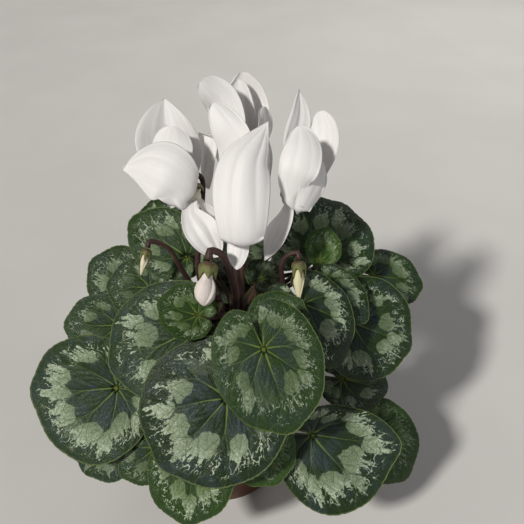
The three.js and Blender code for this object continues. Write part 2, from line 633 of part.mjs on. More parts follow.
// Flowers and buds hang from the ends of their stalks. Each stalk's way is given upwards from
// a little over the crown, as [across, rise, near]. A flower's heart is the middle of its
// tube's mouth. A petal starts at that mouth, around the tube at an angle where 0 is right
// and 90 is near, and its way runs down its middle to its tip. face is the way it looks at
// its foot and at its tip, half its widest half width, cup how far its sides bend towards its
// face, in degrees, crease the slope of a fold along its middle, and tip how sharply it
// closes, from 0.3 for blunt. foot is its width at its foot, as a share of its widest.
const BLOOMS = [
  {
    name: "bloom_left",
    heart: [-28.8, 23.6, 16],
    stalk: [[-26.5, -5.4, 0], [-26, 9.1, 5], [-24.5, 23.6, 8], [-24.5, 34, 11]],
    petals: [
      {
        around: 215,
        way: [[-37, 33, 6], [-39.5, 46, 4], [-40.6, 58, 3], [-41, 68.4, 0]],
        face: [[-0.82, 0, -0.57], [-0.1, 0, -1]],
        half: 15.2, cup: -22, crease: -0.12, tip: 1,
      },
      {
        around: 160,
        way: [[-38.5, 30, 19], [-38, 40, 17.5], [-37, 47, 15.5], [-36.2, 54.7, 13]],
        face: [[-0.94, 0, 0.34], [-0.1, 0.2, 1]],
        half: 11.4, cup: -30, crease: 0, tip: 0.45,
      },
      {
        around: 100,
        way: [[-31.5, 27, 27], [-36.3, 35.6, 30.5], [-45.1, 38.3, 27], [-54.5, 36.1, 22]],
        face: [[0.2, 0, 1], [-0.5, 0.1, 1]],
        half: 13.4, cup: -30, crease: 0, tip: 1.6,
      },
      {
        around: 70,
        way: [[-27.6, 19, 23], [-22.4, 10.8, 26], [-16.7, 2.3, 24]],
        face: [[0, 0.2, 1], [0, 0.3, 1]],
        half: 6.7, cup: 20, crease: -0.2, tip: 0.6,
      },
      {
        around: 10,
        way: [[-22.5, 21, 16], [-19.6, 16, 16.5], [-16.2, 10, 15.5]],
        face: [[0.5, 0.5, 1], [0.3, 0.3, 1]],
        half: 4.6, cup: 20, crease: 0, tip: 0.6,
      },
    ],
  },
  {
    name: "bloom_front",
    heart: [-7.1, 15.7, 22],
    stalk: [[-8.5, -15.9, 2], [-10, -5.3, 10], [-12, 6.8, 14], [-13.5, 17, 15.6], [-12.5, 26, 18]],
    petals: [
      {
        around: 165,
        way: [[-14.4, 24, 21], [-11.2, 35.5, 22.5], [-10.6, 45, 23.5], [-14.1, 53.5, 24], [-19, 62, 23]],
        face: [[-0.97, 0, 0.26], [0, 0.1, 1]],
        half: 8.3, cup: -20, crease: 0, tip: 0.5,
      },
      {
        around: 95,
        way: [
          [-7, 8.2, 28], [-7.3, 6.2, 32], [-7.6, 12.5, 36],
          [-7.6, 28.2, 37], [-5.9, 38.5, 36], [-2.3, 45.5, 33], [2.2, 53.4, 28],
        ],
        face: [[0, -1, 0], [0, 0.3, 1]],
        half: 12.2, cup: -46, crease: 0, tip: 1.2, foot: 0.62,
      },
      {
        around: 120,
        way: [[-9.2, 7, 25], [-9.8, -3, 27]],
        face: [[0, 0, 1], [0, 0.2, 1]],
        half: 4.4, cup: -20, crease: 0, tip: 0.7,
      },
      {
        around: 15,
        way: [[0.3, 18, 21.5], [1.2, 28.4, 22], [1.2, 42.2, 22], [0.3, 54, 20]],
        face: [[0.95, 0, 0.3], [0.9, 0.1, 0.45]],
        half: 8.6, cup: -20, crease: 0, tip: 0.6,
      },
      {
        around: 280,
        way: [[-6, 24, 10], [-6, 36, 8.5], [-5.6, 49, 9]],
        face: [[0.17, 0, -0.98], [0, 0.1, -1]],
        half: 9.5, cup: -18, crease: 0, tip: 0.7,
      },
    ],
  },
  {
    name: "bloom_back",
    heart: [-9.3, 38.9, -2],
    stalk: [[-8.5, -5, -13], [-7, 14, -9], [-5.6, 31, 2.6], [-5, 43, 5], [-6, 50, 3]],
    petals: [
      {
        around: 162,
        way: [[-15.8, 48, -1.2], [-14.3, 58, 0], [-17.4, 67.6, 3], [-24.6, 74.6, 7]],
        face: [[-0.94, 0, 0.34], [-0.1, 0.2, 1]],
        half: 8.4, cup: -26, crease: 0, tip: 0.35,
      },
      {
        around: 265,
        way: [[-8.5, 53.7, -14], [-7, 69.5, -15], [-8.4, 81.8, -9]],
        face: [[-0.09, 0, -1], [0, 0.3, -1]],
        half: 12, cup: -50, crease: 0, tip: 0.5,
      },
      {
        around: 205,
        way: [[-18.5, 48, -4], [-22, 53.6, -2.5], [-22.8, 44, 0.5], [-22.2, 30.4, 2]],
        face: [[-0.94, 0, 0.34], [-0.4, 0, 1]],
        half: 5, cup: -16, crease: 0, tip: 0.8,
      },
      {
        around: 5,
        way: [[-0.4, 47.6, -2], [1.6, 58.2, -3], [1, 66, -4]],
        face: [[1, 0, 0.09], [0.9, 0, 0.6]],
        half: 7.5, cup: -18, crease: 0, tip: 0.6,
      },
      {
        around: 300,
        way: [[-6, 48, -11], [-9.6, 64, -10.8], [-10.3, 78.2, -6.5]],
        face: [[0.2, 0, -1], [0, 0.3, -1]],
        half: 9, cup: -60, crease: 0, tip: 0.45,
      },
    ],
  },
  {
    name: "bloom_right",
    heart: [14.1, 25.7, 14],
    stalk: [[-1, -5, -11], [4.8, 11, -4], [11, 21, 0], [15, 30, 3.5], [15.7, 35.5, 6]],
    petals: [
      {
        around: 215,
        way: [[10.5, 33.5, 7], [13, 48.2, 6], [15.6, 60.6, 5], [15.5, 72, 2]],
        face: [[-0.82, 0, -0.57], [-0.5, 0.1, -1]],
        half: 6.6, cup: -20, crease: -0.14, tip: 0.9,
      },
      {
        around: 95,
        way: [[12.8, 31, 24.5], [14.4, 36.5, 26.5], [16, 44.5, 25.5], [15.2, 53.4, 21]],
        face: [[0.09, 0, 1], [0, 0.2, 1]],
        half: 8.5, cup: -30, crease: 0, tip: 0.55, foot: 0.5,
      },
      {
        around: 330,
        way: [[21, 32, 7], [24.2, 44, 6], [25.4, 54, 5], [24.3, 62.8, 2]],
        face: [[0.87, 0, -0.5], [0.2, 0.1, -1]],
        half: 8, cup: -22, crease: 0, tip: 0.5,
      },
      {
        around: 60,
        way: [[15.4, 20, 19.5], [17.7, 24, 21.2], [21, 30.6, 19.5], [24.4, 40, 14.5]],
        face: [[0.5, -0.8, 0.6], [0.5, 0.1, 1]],
        half: 6, cup: -30, crease: 0, tip: 0.6,
      },
      {
        around: 130,
        way: [[9.6, 18, 18], [5.8, 10.4, 17], [1.2, 0.6, 14]],
        face: [[-0.2, 0.3, 1], [-0.2, 0.3, 1]],
        half: 4.6, cup: 24, crease: 0, tip: 1,
      },
    ],
  },
];

const BUDS = [
  {
    name: "bud_1",
    stalk: [[-31.5, -6.2, 3], [-34.8, 0.4, 9], [-38, 5.7, 12], [-42.6, 8, 14]],
    top: [-45.9, 5.4, 15],
    tip: [-48.6, -5.4, 15],
    swell: 1.8, calyx: 2.2, stem: 0.95,
  },
  {
    name: "bud_2",
    stalk: [[-10.8, -17.8, 5], [-11.8, -7.1, 20], [-13.4, -0.4, 30], [-15.3, 3, 34]],
    top: [-19.9, 0.4, 35.5],
    tip: [-21.7, -16.4, 36],
    swell: 4.2, calyx: 3.7, stem: 1.3,
  },
  {
    name: "bud_3",
    stalk: [[5.5, -17, -4], [8.4, -8, 6], [7.9, -2, 11], [10.2, 2.6, 14]],
    top: [14.6, 0.6, 16],
    tip: [14.8, -15.8, 16],
    swell: 2.9, calyx: 3, stem: 1,
  },
  {
    name: "bud_4",
    stalk: [[-15.4, -21, 12], [-15.8, -16.4, 20]],
    top: [-17.3, -15.4, 23],
    tip: [-17, -21, 23],
    swell: 1.5, calyx: 1.7, stem: 0.8,
  },
];

const PETAL_ROWS = [0, 0.16, 0.34, 0.52, 0.7, 0.86, 1];
const PETAL_COLUMNS = [-1, -0.5, 0, 0.5, 1];
const PETAL_FOOT_SHARE = 0.3;
const PETAL_WIDEST = 0.55;

// A petal's half width along its way, as a share of its widest
function petalWidth(along, tip, foot) {
  const opening = lerp(foot, 1, smoothstep(along, 0, PETAL_WIDEST));
  const closing = Math.max(0, (along - PETAL_WIDEST) / (1 - PETAL_WIDEST));
  return opening * (1 - 0.98 * closing * closing) ** tip;
}

// A petal's way from the wall of the tube. One that rises bows out round the calyx first
function petalSpine(heart, around, way) {
  const mouth = at(...heart);
  const angle = degToRad(around);
  const out = at(Math.cos(angle), 0, Math.sin(angle));
  const foot = mouth.clone().addScaledVector(out, TUBE_RADIUS - TUBE_WALL / 2).add(at(0, 1, 0));
  const bow = mouth.clone().addScaledVector(out, PETAL_BOW).add(at(0, -PETAL_DIP, 0));
  const listed = way.map((p) => at(...p));
  const rises = listed[0].y > mouth.y;
  return new THREE.CatmullRomCurve3(rises ? [foot, bow, ...listed] : [foot, ...listed], false, "centripetal");
}

function petalSolid(heart, { around, way, face, half, cup, crease, tip, foot = PETAL_FOOT_SHARE }) {
  const spine = petalSpine(heart, around, way);
  const [footFace, tipFace] = face.map((f) => at(...f).normalize());
  const bend = degToRad(cup);
  const front = [];
  const back = [];
  for (const along of PETAL_ROWS) {
    const centre = spine.getPointAt(along);
    const forward = spine.getTangentAt(along);
    const normal = footFace.clone().lerp(tipFace, along);
    normal.addScaledVector(forward, -normal.dot(forward)).normalize();
    const side = forward.clone().cross(normal);
    const width = half * petalWidth(along, tip, foot);
    for (const column of PETAL_COLUMNS) {
      const angle = column * bend;
      const point = centre
        .clone()
        .addScaledVector(side, (width * Math.sin(angle)) / bend)
        .addScaledVector(normal, (width * (1 - Math.cos(angle))) / bend + crease * width * Math.abs(column));
      const out = normal.clone().multiplyScalar(Math.cos(angle)).addScaledVector(side, -Math.sin(angle));
      front.push(point.clone().addScaledVector(out, PETAL_THICKNESS / 2));
      back.push(point.clone().addScaledVector(out, -PETAL_THICKNESS / 2));
    }
  }
  return sheetSolid(front, back, PETAL_COLUMNS.length);
}

// A thin closed body between two grids of points, alike in their rows of so many columns
function sheetSolid(front, back, columns) {
  const rows = front.length / columns;
  const count = front.length;
  const triangles = [];
  const both = (a, b, c) => triangles.push(a, b, c, a + count, c + count, b + count);
  const wall = (a, b) => triangles.push(a, a + count, b + count, a, b + count, b);
  for (let row = 0; row < rows - 1; row++)
    for (let column = 0; column < columns - 1; column++) {
      const corner = row * columns + column;
      both(corner, corner + 1, corner + columns + 1);
      both(corner, corner + columns + 1, corner + columns);
    }
  for (let column = 0; column < columns - 1; column++) {
    wall(column, column + 1);
    wall(count - 1 - column, count - 2 - column);
  }
  for (let row = 0; row < rows - 1; row++) {
    wall((row + 1) * columns, row * columns);
    wall((row + 1) * columns - 1, (row + 2) * columns - 1);
  }
  const points = [...front, ...back];
  return outwards(toSolid(closedGeometry(points, triangles)), points, triangles);
}

// The turn and shift that carry a part from standing on the origin to reaching from foot to head
function reaching(foot, head) {
  const direction = head.clone().sub(foot).normalize();
  const turn = new THREE.Quaternion().setFromUnitVectors(new THREE.Vector3(0, 0, 1), direction);
  return new THREE.Matrix4().compose(foot, turn, new THREE.Vector3(1, 1, 1));
}

// The flower's tube, open at the mouth, which stands on the origin
function tubeSolid() {
  return turned(
    [
      [0, TUBE_LENGTH - TUBE_WALL],
      [TUBE_RADIUS - TUBE_WALL - 0.4, TUBE_LENGTH - TUBE_WALL],
      [TUBE_RADIUS - TUBE_WALL, 0],
      [TUBE_RADIUS, 0],
      [TUBE_RADIUS + 0.2, 2],
      [TUBE_RADIUS - 0.6, TUBE_LENGTH - 0.6],
      [TUBE_RADIUS - 1.8, TUBE_LENGTH],
      [0, TUBE_LENGTH],
    ],
    12,
  );
}

// The rings of a calyx, from its top down its outside and up into its mouth: the share of its
// radius, and how far the points of its sepals and the notches between them have come, as
// shares of its dome. It spreads flat over a flower's tube, and is a deep cup round a bud.
const BLOOM_CALYX_RINGS = [
  [0.42, 0.04, 0.04],
  [0.84, 0.5, 0.5],
  [1, 1.75, 1.1],
  [0.84, 1.7, 1.1],
  [0.8, 1, 1],
];
const BUD_CALYX_RINGS = [
  [0.5, 0.06, 0.06],
  [0.92, 0.34, 0.34],
  [1, 0.9, 0.8],
  [0.92, 1.75, 1.1],
  [0.77, 1.7, 1.08],
  [0.74, 1, 1],
];

// A calyx with five pointed sepals, its top on the origin, opening along +z
function calyxGeometry({ radius, dome, rings }) {
  const sides = 2 * SEPALS;
  const points = [new THREE.Vector3(0, 0, 0)];
  for (const [share, long, short] of rings)
    for (let side = 0; side < sides; side++) {
      const angle = (side / sides) * 2 * Math.PI;
      const reach = radius * share;
      const height = dome * (side % 2 ? short : long);
      points.push(new THREE.Vector3(reach * Math.cos(angle), reach * Math.sin(angle), height));
    }
  points.push(new THREE.Vector3(0, 0, dome));
  const triangles = [];
  const last = points.length - 1;
  for (let side = 0; side < sides; side++) {
    const next = (side + 1) % sides;
    triangles.push(0, 1 + next, 1 + side);
    for (let ring = 0; ring < rings.length - 1; ring++) {
      const a = 1 + ring * sides + side;
      const b = 1 + ring * sides + next;
      triangles.push(a, b, b + sides, a, b + sides, a + sides);
    }
    triangles.push(last, last - sides + side, last - sides + next);
  }
  return closedGeometry(points, triangles);
}

// Stalks
function crownSolid() {
  const crown = new THREE.CylinderGeometry(CROWN_RADIUS * 0.8, CROWN_RADIUS, CROWN_HEIGHT, 14);
  crown.rotateX(Math.PI / 2);
  crown.translate(CROWN_TOP.x, CROWN_TOP.y, CROWN_TOP.z);
  return toSolid(crown);
}

// The hanging heads: where each calyx has its top, and the way it opens
function bloomHead({ heart }) {
  const mouth = at(...heart);
  const up = at(0, 1, 0);
  const radius = TUBE_RADIUS * 1.22;
  const dome = radius * BLOOM_CALYX_DOME;
  const top = mouth.clone().addScaledVector(up, TUBE_LENGTH + SEAT_GAP + dome);
  return { top, end: mouth, radius, dome, rings: BLOOM_CALYX_RINGS };
}

function budHead({ top, tip, calyx }) {
  const dome = calyx * BUD_CALYX_DOME;
  return { top: at(...top), end: at(...tip), radius: calyx, dome, rings: BUD_CALYX_RINGS };
}

function headStalk(stalk, { top, end }, radius, tipRadius) {
  const up = top.clone().sub(end).normalize();
  const listed = stalk.map((p) => at(...p));
  const outward = outwardTo(fromFacing(listed[0]));
  const root = takeRoot(CROWN_TOP.clone().addScaledVector(outward, ROOT_SPREAD * 0.3));
  const way = [
    root.clone().applyMatrix4(facing.matrixWorld.clone().invert()),
    ...listed,
    top.clone().addScaledVector(up, 3 * tipRadius),
    top.clone().addScaledVector(up, SEAT_GAP),
  ];
  const curve = new THREE.CatmullRomCurve3(way.map(fromFacing), false, "centripetal");
  layStalk(curve, radius);
  return stalkSolid(curve, radius, tipRadius, STALK_SIDES, STALK_STEPS);
}

function petioleSolid(leaf, blades) {
  const curve = petioleFor(leaf, blades);
  layStalk(curve, PETIOLE_RADIUS);
  const face = new THREE.Vector3(0, 0, 1).transformDirection(bladeMatrix(leaf));
  const steps = leaf.over ? LED_PETIOLE_STEPS : PETIOLE_STEPS;
  return stalkSolid(curve, PETIOLE_RADIUS, PETIOLE_RADIUS * 0.85, PETIOLE_SIDES, steps, face);
}

function makeStalks() {
  const leaves = [...LEAVES, ...BACK_LEAVES];
  const blades = leaves.map((leaf) => ({ leaf, toBlade: bladeMatrix(leaf).invert() }));
  const headStalks = [
    ...BLOOMS.map((bloom) => headStalk(bloom.stalk, bloomHead(bloom), STALK_RADIUS, STALK_RADIUS * 0.8)),
    ...BUDS.map((bud) => headStalk(bud.stalk, budHead(bud), STALK_RADIUS, bud.stem)),
  ];
  for (const bud of BUDS) layBud(bud);
  const petioles = leaves.map((leaf) => petioleSolid(leaf, blades));
  const joined = wasm.Manifold.union([crownSolid(), ...headStalks, ...petioles]);
  const stalks = largestBody(joined.subtract(tuberSolid(SEAT_GAP)));
  return named("stalks", toGeometry(stalks.simplify(SLIVER)), stalkRed);
}

function makeBloom(bloom) {
  const head = bloomHead(bloom);
  const tube = tubeSolid().transform(reaching(head.end, head.top).elements);
  const petals = bloom.petals.map((petal) => petalSolid(bloom.heart, petal));
  const flower = largestBody(wasm.Manifold.union([tube, ...petals]));
  const clean = largestBody(toSolid(toGeometry(flower.simplify(SLIVER))));
  return named(bloom.name, toGeometry(clean), petalWhite);
}

function makeCalyx(name, head) {
  const geometry = calyxGeometry(head);
  geometry.applyMatrix4(reaching(head.top, head.end));
  return named(name, geometry, sepalGreen);
}

// A bud's closed petals, a spindle that swells out from between the sepals
function makeBud(bud) {
  const { top, end, radius, dome } = budHead(bud);
  const foot = dome + SEAT_GAP;
  const length = top.distanceTo(end);
  const profile = [
    [0, foot],
    [radius * 0.58, foot + 0.1],
    [radius * 0.66, 1.75 * dome + 0.1],
    [bud.swell * 0.86, lerp(foot, length, 0.28)],
    [bud.swell, lerp(foot, length, 0.45)],
    [bud.swell * 0.9, lerp(foot, length, 0.62)],
    [bud.swell * 0.55, lerp(foot, length, 0.84)],
    [0, length],
  ];
  const geometry = toGeometry(turned(profile, 10));
  geometry.applyMatrix4(reaching(top, end));
  return named(bud.name, geometry, budCream);
}

layLeaves();

const plant = new THREE.Group();
plant.add(makePot(), makeSoil(), makeTuber(), makeStalks());
for (const leaf of [...LEAVES, ...BACK_LEAVES]) plant.add(makeLeaf(leaf));
for (const bloom of BLOOMS) facing.add(makeBloom(bloom), makeCalyx(`${bloom.name}_calyx`, bloomHead(bloom)));
for (const bud of BUDS) facing.add(makeBud(bud), makeCalyx(`${bud.name}_calyx`, budHead(bud)));
plant.add(facing);

export default plant;
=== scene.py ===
"""Looks of a small potted cyclamen: fine leaf blades, petals, buds, stalks, peat, tuber and pot
round the packed part, their materials, and a plain stage with soft light and one camera.

Lengths are millimetres in the working functions and metres in the scene."""

import itertools
import math
from collections import namedtuple

import bpy
import numpy as np
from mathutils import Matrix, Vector
from mathutils.bvhtree import BVHTree


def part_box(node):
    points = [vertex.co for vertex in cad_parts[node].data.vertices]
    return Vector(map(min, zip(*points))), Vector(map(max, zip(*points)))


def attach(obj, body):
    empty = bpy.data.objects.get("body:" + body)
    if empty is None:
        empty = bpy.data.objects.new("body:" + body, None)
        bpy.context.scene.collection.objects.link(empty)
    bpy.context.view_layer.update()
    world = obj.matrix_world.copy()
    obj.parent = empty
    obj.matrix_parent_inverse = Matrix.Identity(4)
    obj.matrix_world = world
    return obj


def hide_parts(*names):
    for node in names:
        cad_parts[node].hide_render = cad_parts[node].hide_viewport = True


bl_info = {
    "name": "Potted Cyclamen",
    "version": (1, 0, 0),
    "blender": (4, 5, 0),
    "location": "3D View > Sidebar > Cyclamen",
    "description": "Leaves, flowers, stalks, peat and pot of a small potted cyclamen",
    "category": "Add Mesh",
}

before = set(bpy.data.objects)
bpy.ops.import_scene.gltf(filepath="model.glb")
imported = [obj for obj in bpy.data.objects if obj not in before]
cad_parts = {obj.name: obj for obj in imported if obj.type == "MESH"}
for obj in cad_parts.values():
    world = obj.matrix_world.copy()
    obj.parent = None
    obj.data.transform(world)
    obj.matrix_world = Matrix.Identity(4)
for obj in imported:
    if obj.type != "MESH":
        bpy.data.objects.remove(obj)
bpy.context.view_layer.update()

MM = 0.001

# The pot, as the packed part has it, but with its corners rounded
POT_HEIGHT = 75
POT_BASE_RADIUS = 27
POT_TOP_RADIUS = 37
POT_RIM_RADIUS = 40
POT_RIM_DEPTH = 9
POT_WALL = 1.6
POT_FLOOR = 2.2
POT_CORNER = 0.7
DRAIN_HOLES = 6
DRAIN_RADIUS = 3.5
DRAIN_RING_RADIUS = 17
DRAIN_SIDES = 28
POT_SHARP_ANGLE = math.radians(50)

# The peat, the tuber and its crown
SEAT_GAP = 0.3
SOIL_HEIGHT = 69
SOIL_RELIEF = 0.7
TUBER_RADIUS = 14
TUBER_HEIGHT = 9.5
TUBER_RADII = (TUBER_RADIUS, TUBER_RADIUS, TUBER_HEIGHT)
TUBER_CENTRE = np.array([8.0, 0.0, 68.0])
CROWN_RADIUS = 10
CROWN_HEIGHT = 2.6
CROWN_TOP = TUBER_CENTRE + [0, 0, TUBER_HEIGHT + SEAT_GAP + CROWN_HEIGHT / 2]
ROOT_COUNT = 42
ROOT_SPREAD = 8.6
FLOWER_ROOT_SPREAD = 0.3 * ROOT_SPREAD
GOLDEN_ANGLE = math.radians(137.5)

# The blades and stalks of the packed part
PACKED_THICKNESS = 0.9
PACKED_RAYS = 22
PACKED_RINGS = 2
SINUS_HALF_ANGLE = math.radians(6)
PETIOLE_RADIUS = 1.2
STALK_RADIUS = 1.35

# The flowers and buds of the packed part
TUBE_RADIUS = 4.4
TUBE_LENGTH = 6
TUBE_WALL = 1
BLOOM_CALYX_RADIUS = 1.22 * TUBE_RADIUS
PETAL_BOW = 7
PETAL_DIP = 0.8
BLOOM_CALYX_DOME = 0.42
BUD_CALYX_DOME = 1.05
PETAL_FOOT_SHARE = 0.3
PETAL_WIDEST = 0.55

# The plant faces the light, in front of it and above. In the frame that faces it, the axes
# are across to the right, rise upwards and near towards the light.
LIGHT_HEIGHT = math.radians(35)
FACING_ORIGIN = np.array([20.0, 0.0, 121.0])
ACROSS = np.array([1.0, 0.0, 0.0])
RISE = np.array([0.0, math.sin(LIGHT_HEIGHT), math.cos(LIGHT_HEIGHT)])
NEAR = np.array([0.0, -math.cos(LIGHT_HEIGHT), math.sin(LIGHT_HEIGHT)])
FACING = np.stack([ACROSS, RISE, NEAR])

# The photograph's view, and the lights round the plant
VIEW_DISTANCE = 330
VIEW_LENS = 54
VIEW_SENSOR = 36
LIGHT_AIM = FACING_ORIGIN - [0, 0, 20]
KEY_PLACE = (-830, -1020, 1250)
KEY_COLOUR = (1.0, 0.97, 0.93)
FILL_PLACE = (420, -300, 260)
FILL_SIZE = 420
FILL_COLOUR = (0.9, 0.95, 1.0)
BACK_PLACE = (380, 700, 480)
BACK_SIZE = 520
BACK_COLOUR = (1.0, 0.98, 0.96)
ROOM_COLOUR = (0.94, 0.96, 1.0)

# How finely the looks are made. A spacing under 1 draws a blade's rings together at its margin.
BLADE_RAYS = 150
BLADE_RINGS = 33
RING_SPACING = 0.85
PETAL_ROWS = 60
PETAL_COLUMNS = 31
PETAL_EASE = 7
BUD_ROWS = 70
BUD_SIDES = 120
BUD_EASE = 4
CALYX_SIDES = 80
LEAF_STALK_SIDES = 12
LEAF_STALK_STEPS = 40
FLOWER_STALK_SIDES = 16
FLOWER_STALK_STEPS = 64
FLOWER_TUBE_SIDES = 40
SOIL_RINGS = 60
SOIL_SIDES = 170
POT_SIDES = 144
TUBER_RINGS = 70
TUBER_SIDES = 120
CROWN_RINGS = 16
CROWN_SIDES = 48
CRUMB_SEED = 11

# A blade's outline and margin: how far and how widely its tip is drawn out and its lobes are
# rounded off at the notch, how softly it folds, and its waves and teeth all round
TIP_POINT = 0.05
TIP_SPAN = 0.16
LOBE_ROUNDING = 0.3
LOBE_SPAN = 0.3
FOLD_SOFTNESS = 0.06
MARGIN_WAVES = 5
MARGIN_TEETH = 62

# A blade's veins: the angle between main ones, how far they curve, sway and fork and where on
# their way, the side veins along each and how they slant, and the widths of their grooves
VEIN_ANGLE = math.radians(42)
VEIN_CURVE = 0.3
VEIN_SWAY = 0.07
VEIN_FORK = 0.27
FORK_START = 0.4
FORK_SCATTER = 0.1
FORK_RUN = 0.45
SIDE_VEINS = 5
SIDE_VEIN_SLANT = 3.2
MAIN_VEIN_WIDTH = 0.8
SIDE_VEIN_WIDTH = 0.5

# A petal's relief: the turns of its ribs and furrows over its half width, how far the furrows
# spread towards its tip, and the turns of its edge's waves over its length, all in radians
RIB_TURNS = 17
FURROW_TURNS = 3.4
FURROW_SPREAD = 1.8
EDGE_TURNS = 11

# A calyx's sepals, and a bud's petals with the depth of their laps as a share of its radius
SEPALS = 5
BUD_PETALS = 5
BUD_LAP = 0.29

Leaf = namedtuple("Leaf", "point turn nod length half back skew fold dome wave tone silver band")

# The blades that face the light. point is the way the tip points, anticlockwise from across,
# and turn and nod swing the face right and up. length, half and back are the blade's reach to
# its tip, to its sides and to its lobes, skew widens the left half, and fold, dome and wave
# bend it. tone runs from dark green with a painted bluish sheen at 0 to bright young green at 1,
# silver is how strong its marbling is, and band how far out the marbling lies.
LEAVES = {
    "leaf_01": Leaf(-72, 4, 4, 31.3, 20.5, 19.6, 0, 0.03, 0.1, 0.5, 0.55, 0.62, 0.0),
    "leaf_02": Leaf(163, 10, 8, 15.5, 11, 7, 0, 0.22, -0.12, 0.3, 0.85, 0.9, -0.04),
    "leaf_03": Leaf(-134, -4, 2, 37.2, 29.4, 21.6, 0, 0.06, 0.12, 0.6, 0.1, 1.0, 0.0),
    "leaf_04": Leaf(-156, -12, 8, 37, 23.7, 17, 0, 0.1, 0.1, 0.6, 0.3, 0.9, 0.02),
    "leaf_05": Leaf(50, 4, 6, 15, 14, 9, 0, 0.05, -0.1, 0.4, 0.6, 0.4, 0.0),
    "leaf_06": Leaf(-57, 14, 8, 28, 18, 14, 0, 0.02, 0.12, 0.5, 0.15, 1.0, 0.02),
    "leaf_07": Leaf(-42, 16, 16, 21, 11, 10, 0, 0.05, 0.1, 0.4, 0.3, 0.8, 0.0),
    "leaf_08": Leaf(-22, 12, 8, 29, 23, 15, 0, 0.06, 0.1, 0.7, 0.3, 0.8, 0.0),
    "leaf_09": Leaf(-11.4, 6, -4, 37.4, 22.5, 14, -0.36, 0.2, 0.06, 0.7, 0.2, 0.95, 0.02),
    "leaf_10": Leaf(-175, -10, -2, 38.5, 27, 16, 0.14, 0.2, 0.08, 0.7, 0.3, 0.95, 0.03),
    "leaf_11": Leaf(146, -10, 10, 31, 14.5, 9, 0, 0.08, 0.08, 0.6, 0.5, 0.8, 0.0),
    "leaf_12": Leaf(176, -12, 10, 20, 13, 9, 0, 0.08, 0.08, 0.4, 0.4, 0.8, 0.0),
    "leaf_13": Leaf(-179, -14, 6, 24.5, 13.5, 9, 0, 0.15, -0.05, 0.6, 0.45, 0.7, 0.0),
    "leaf_14": Leaf(-96, -4, -4, 29.5, 18, 13, 0, 0.05, 0.1, 0.5, 0.7, 1.0, 0.02),
    "leaf_15": Leaf(-66, 8, 2, 19, 14, 9, 0, 0.1, 0.06, 0.5, 0.9, 0.5, 0.0),
    "leaf_16": Leaf(-141, -14, 2, 19.5, 11.5, 8, 0, 0.05, 0.08, 0.4, 0.5, 0.6, 0.0),
    "leaf_17": Leaf(-143, -18, 2, 22, 11, 7, 0, 0.08, 0.08, 0.3, 0.4, 0.7, 0.0),
    "leaf_18": Leaf(-128, -14, 0, 24, 17, 11, 0, 0.05, 0.1, 0.5, 0.3, 0.5, 0.0),
    "leaf_19": Leaf(149, -12, 10, 26, 16.5, 12, 0, 0.1, 0.08, 0.5, 0.4, 0.8, 0.0),
    "leaf_20": Leaf(-16, 16, 4, 23, 14, 11, 0, 0.05, 0.1, 0.5, 0.2, 0.6, 0.0),
    "leaf_21": Leaf(76, 12, 24, 14, 8, 4, 0, 0.3, -0.25, 0.8, 1.0, 0.7, 0.0),
    "leaf_22": Leaf(42, 10, 24, 9.5, 8.4, 6, 0, 0.05, -0.05, 0.3, 0.3, 0.6, 0.0),
    "leaf_23": Leaf(60, 10, 24, 30, 23, 14, 0, 0.14, 0.06, 0.6, 0.4, 0.9, 0.02),
    "leaf_24": Leaf(-9, 16, 30, 24, 15, 10, 0, 0.1, 0.06, 0.5, 0.5, 0.7, 0.0),
    "leaf_25": Leaf(-56, 18, 6, 29, 17, 12, 0, 0.05, 0.1, 0.6, 0.85, 0.6, 0.0),
    "leaf_26": Leaf(109, -10, 12, 18, 12, 8, 0, 0.05, 0.08, 0.4, 0.4, 0.7, 0.0),
}

# The flatter blades at the back. Here point is the way the tip heads, anticlockwise from +x,
# and nod how far it leans down.
BACK_LEAVES = {
    "leaf_27": Leaf(142, 0, 16, 27, 19, 13, 0, 0.05, 0.12, 0.6, 0.35, 0.9, 0.0),
    "leaf_28": Leaf(104, 0, 6, 28, 21, 14, 0, 0.05, 0.12, 0.6, 0.2, 0.95, 0.02),
    "leaf_29": Leaf(66, 0, 6, 29, 20, 14, 0, 0.05, 0.12, 0.6, 0.4, 0.85, 0.0),
    "leaf_30": Leaf(28, 0, 22, 27, 18, 12, 0, 0.05, 0.12, 0.6, 0.3, 0.9, 0.0),
    "leaf_31": Leaf(88, 0, -12, 22, 18, 13, 0, 0.05, 0.1, 0.5, 0.2, 0.5, 0.0),
}

EVERY_LEAF = {**LEAVES, **BACK_LEAVES}

# The order in which the leaf stalks took their places on the crown
LEAF_ORDER = [f"leaf_{n:02d}" for n in (*range(1, 9), 15, *range(9, 15), *range(16, 32))]

# The ways that a leaf stalk may take, as shares of its run: how deep under the blade and how far
# up its upper handle lies, how that slants back from the tip, and how far its lower handle swings
# to a side, lifts and sets out
STALK_CHOICES = (
    (0.3, 0.18, 0.42),
    (0, 0.2, 0.4),
    (0.35, 0.9, 1.8, 3),
    (0, 0.12, -0.12, 0.24, -0.24, 0.4, -0.4),
    (0.34, 0.2, 0.5, 0.7, 0.9),
)
STALK_OUTSET = 0.12

# Places in the plant that lead three of the stalks over the pot's rim
OVER_RIM = {
    "leaf_16": [(-6, -16, 88), (-20, -38, 80), (-24, -42, 70)],
    "leaf_17": [(-4, -12, 89), (-15.5, -36, 83), (-18.5, -41, 77)],
    "leaf_18": [(-14, -12, 88), (-32, -25, 81), (-37.5, -28, 68)],
}

Petal = namedtuple(
    "Petal", "around way face half cup crease tip foot pleats ease", defaults=(PETAL_FOOT_SHARE, 0.15, 0),
)

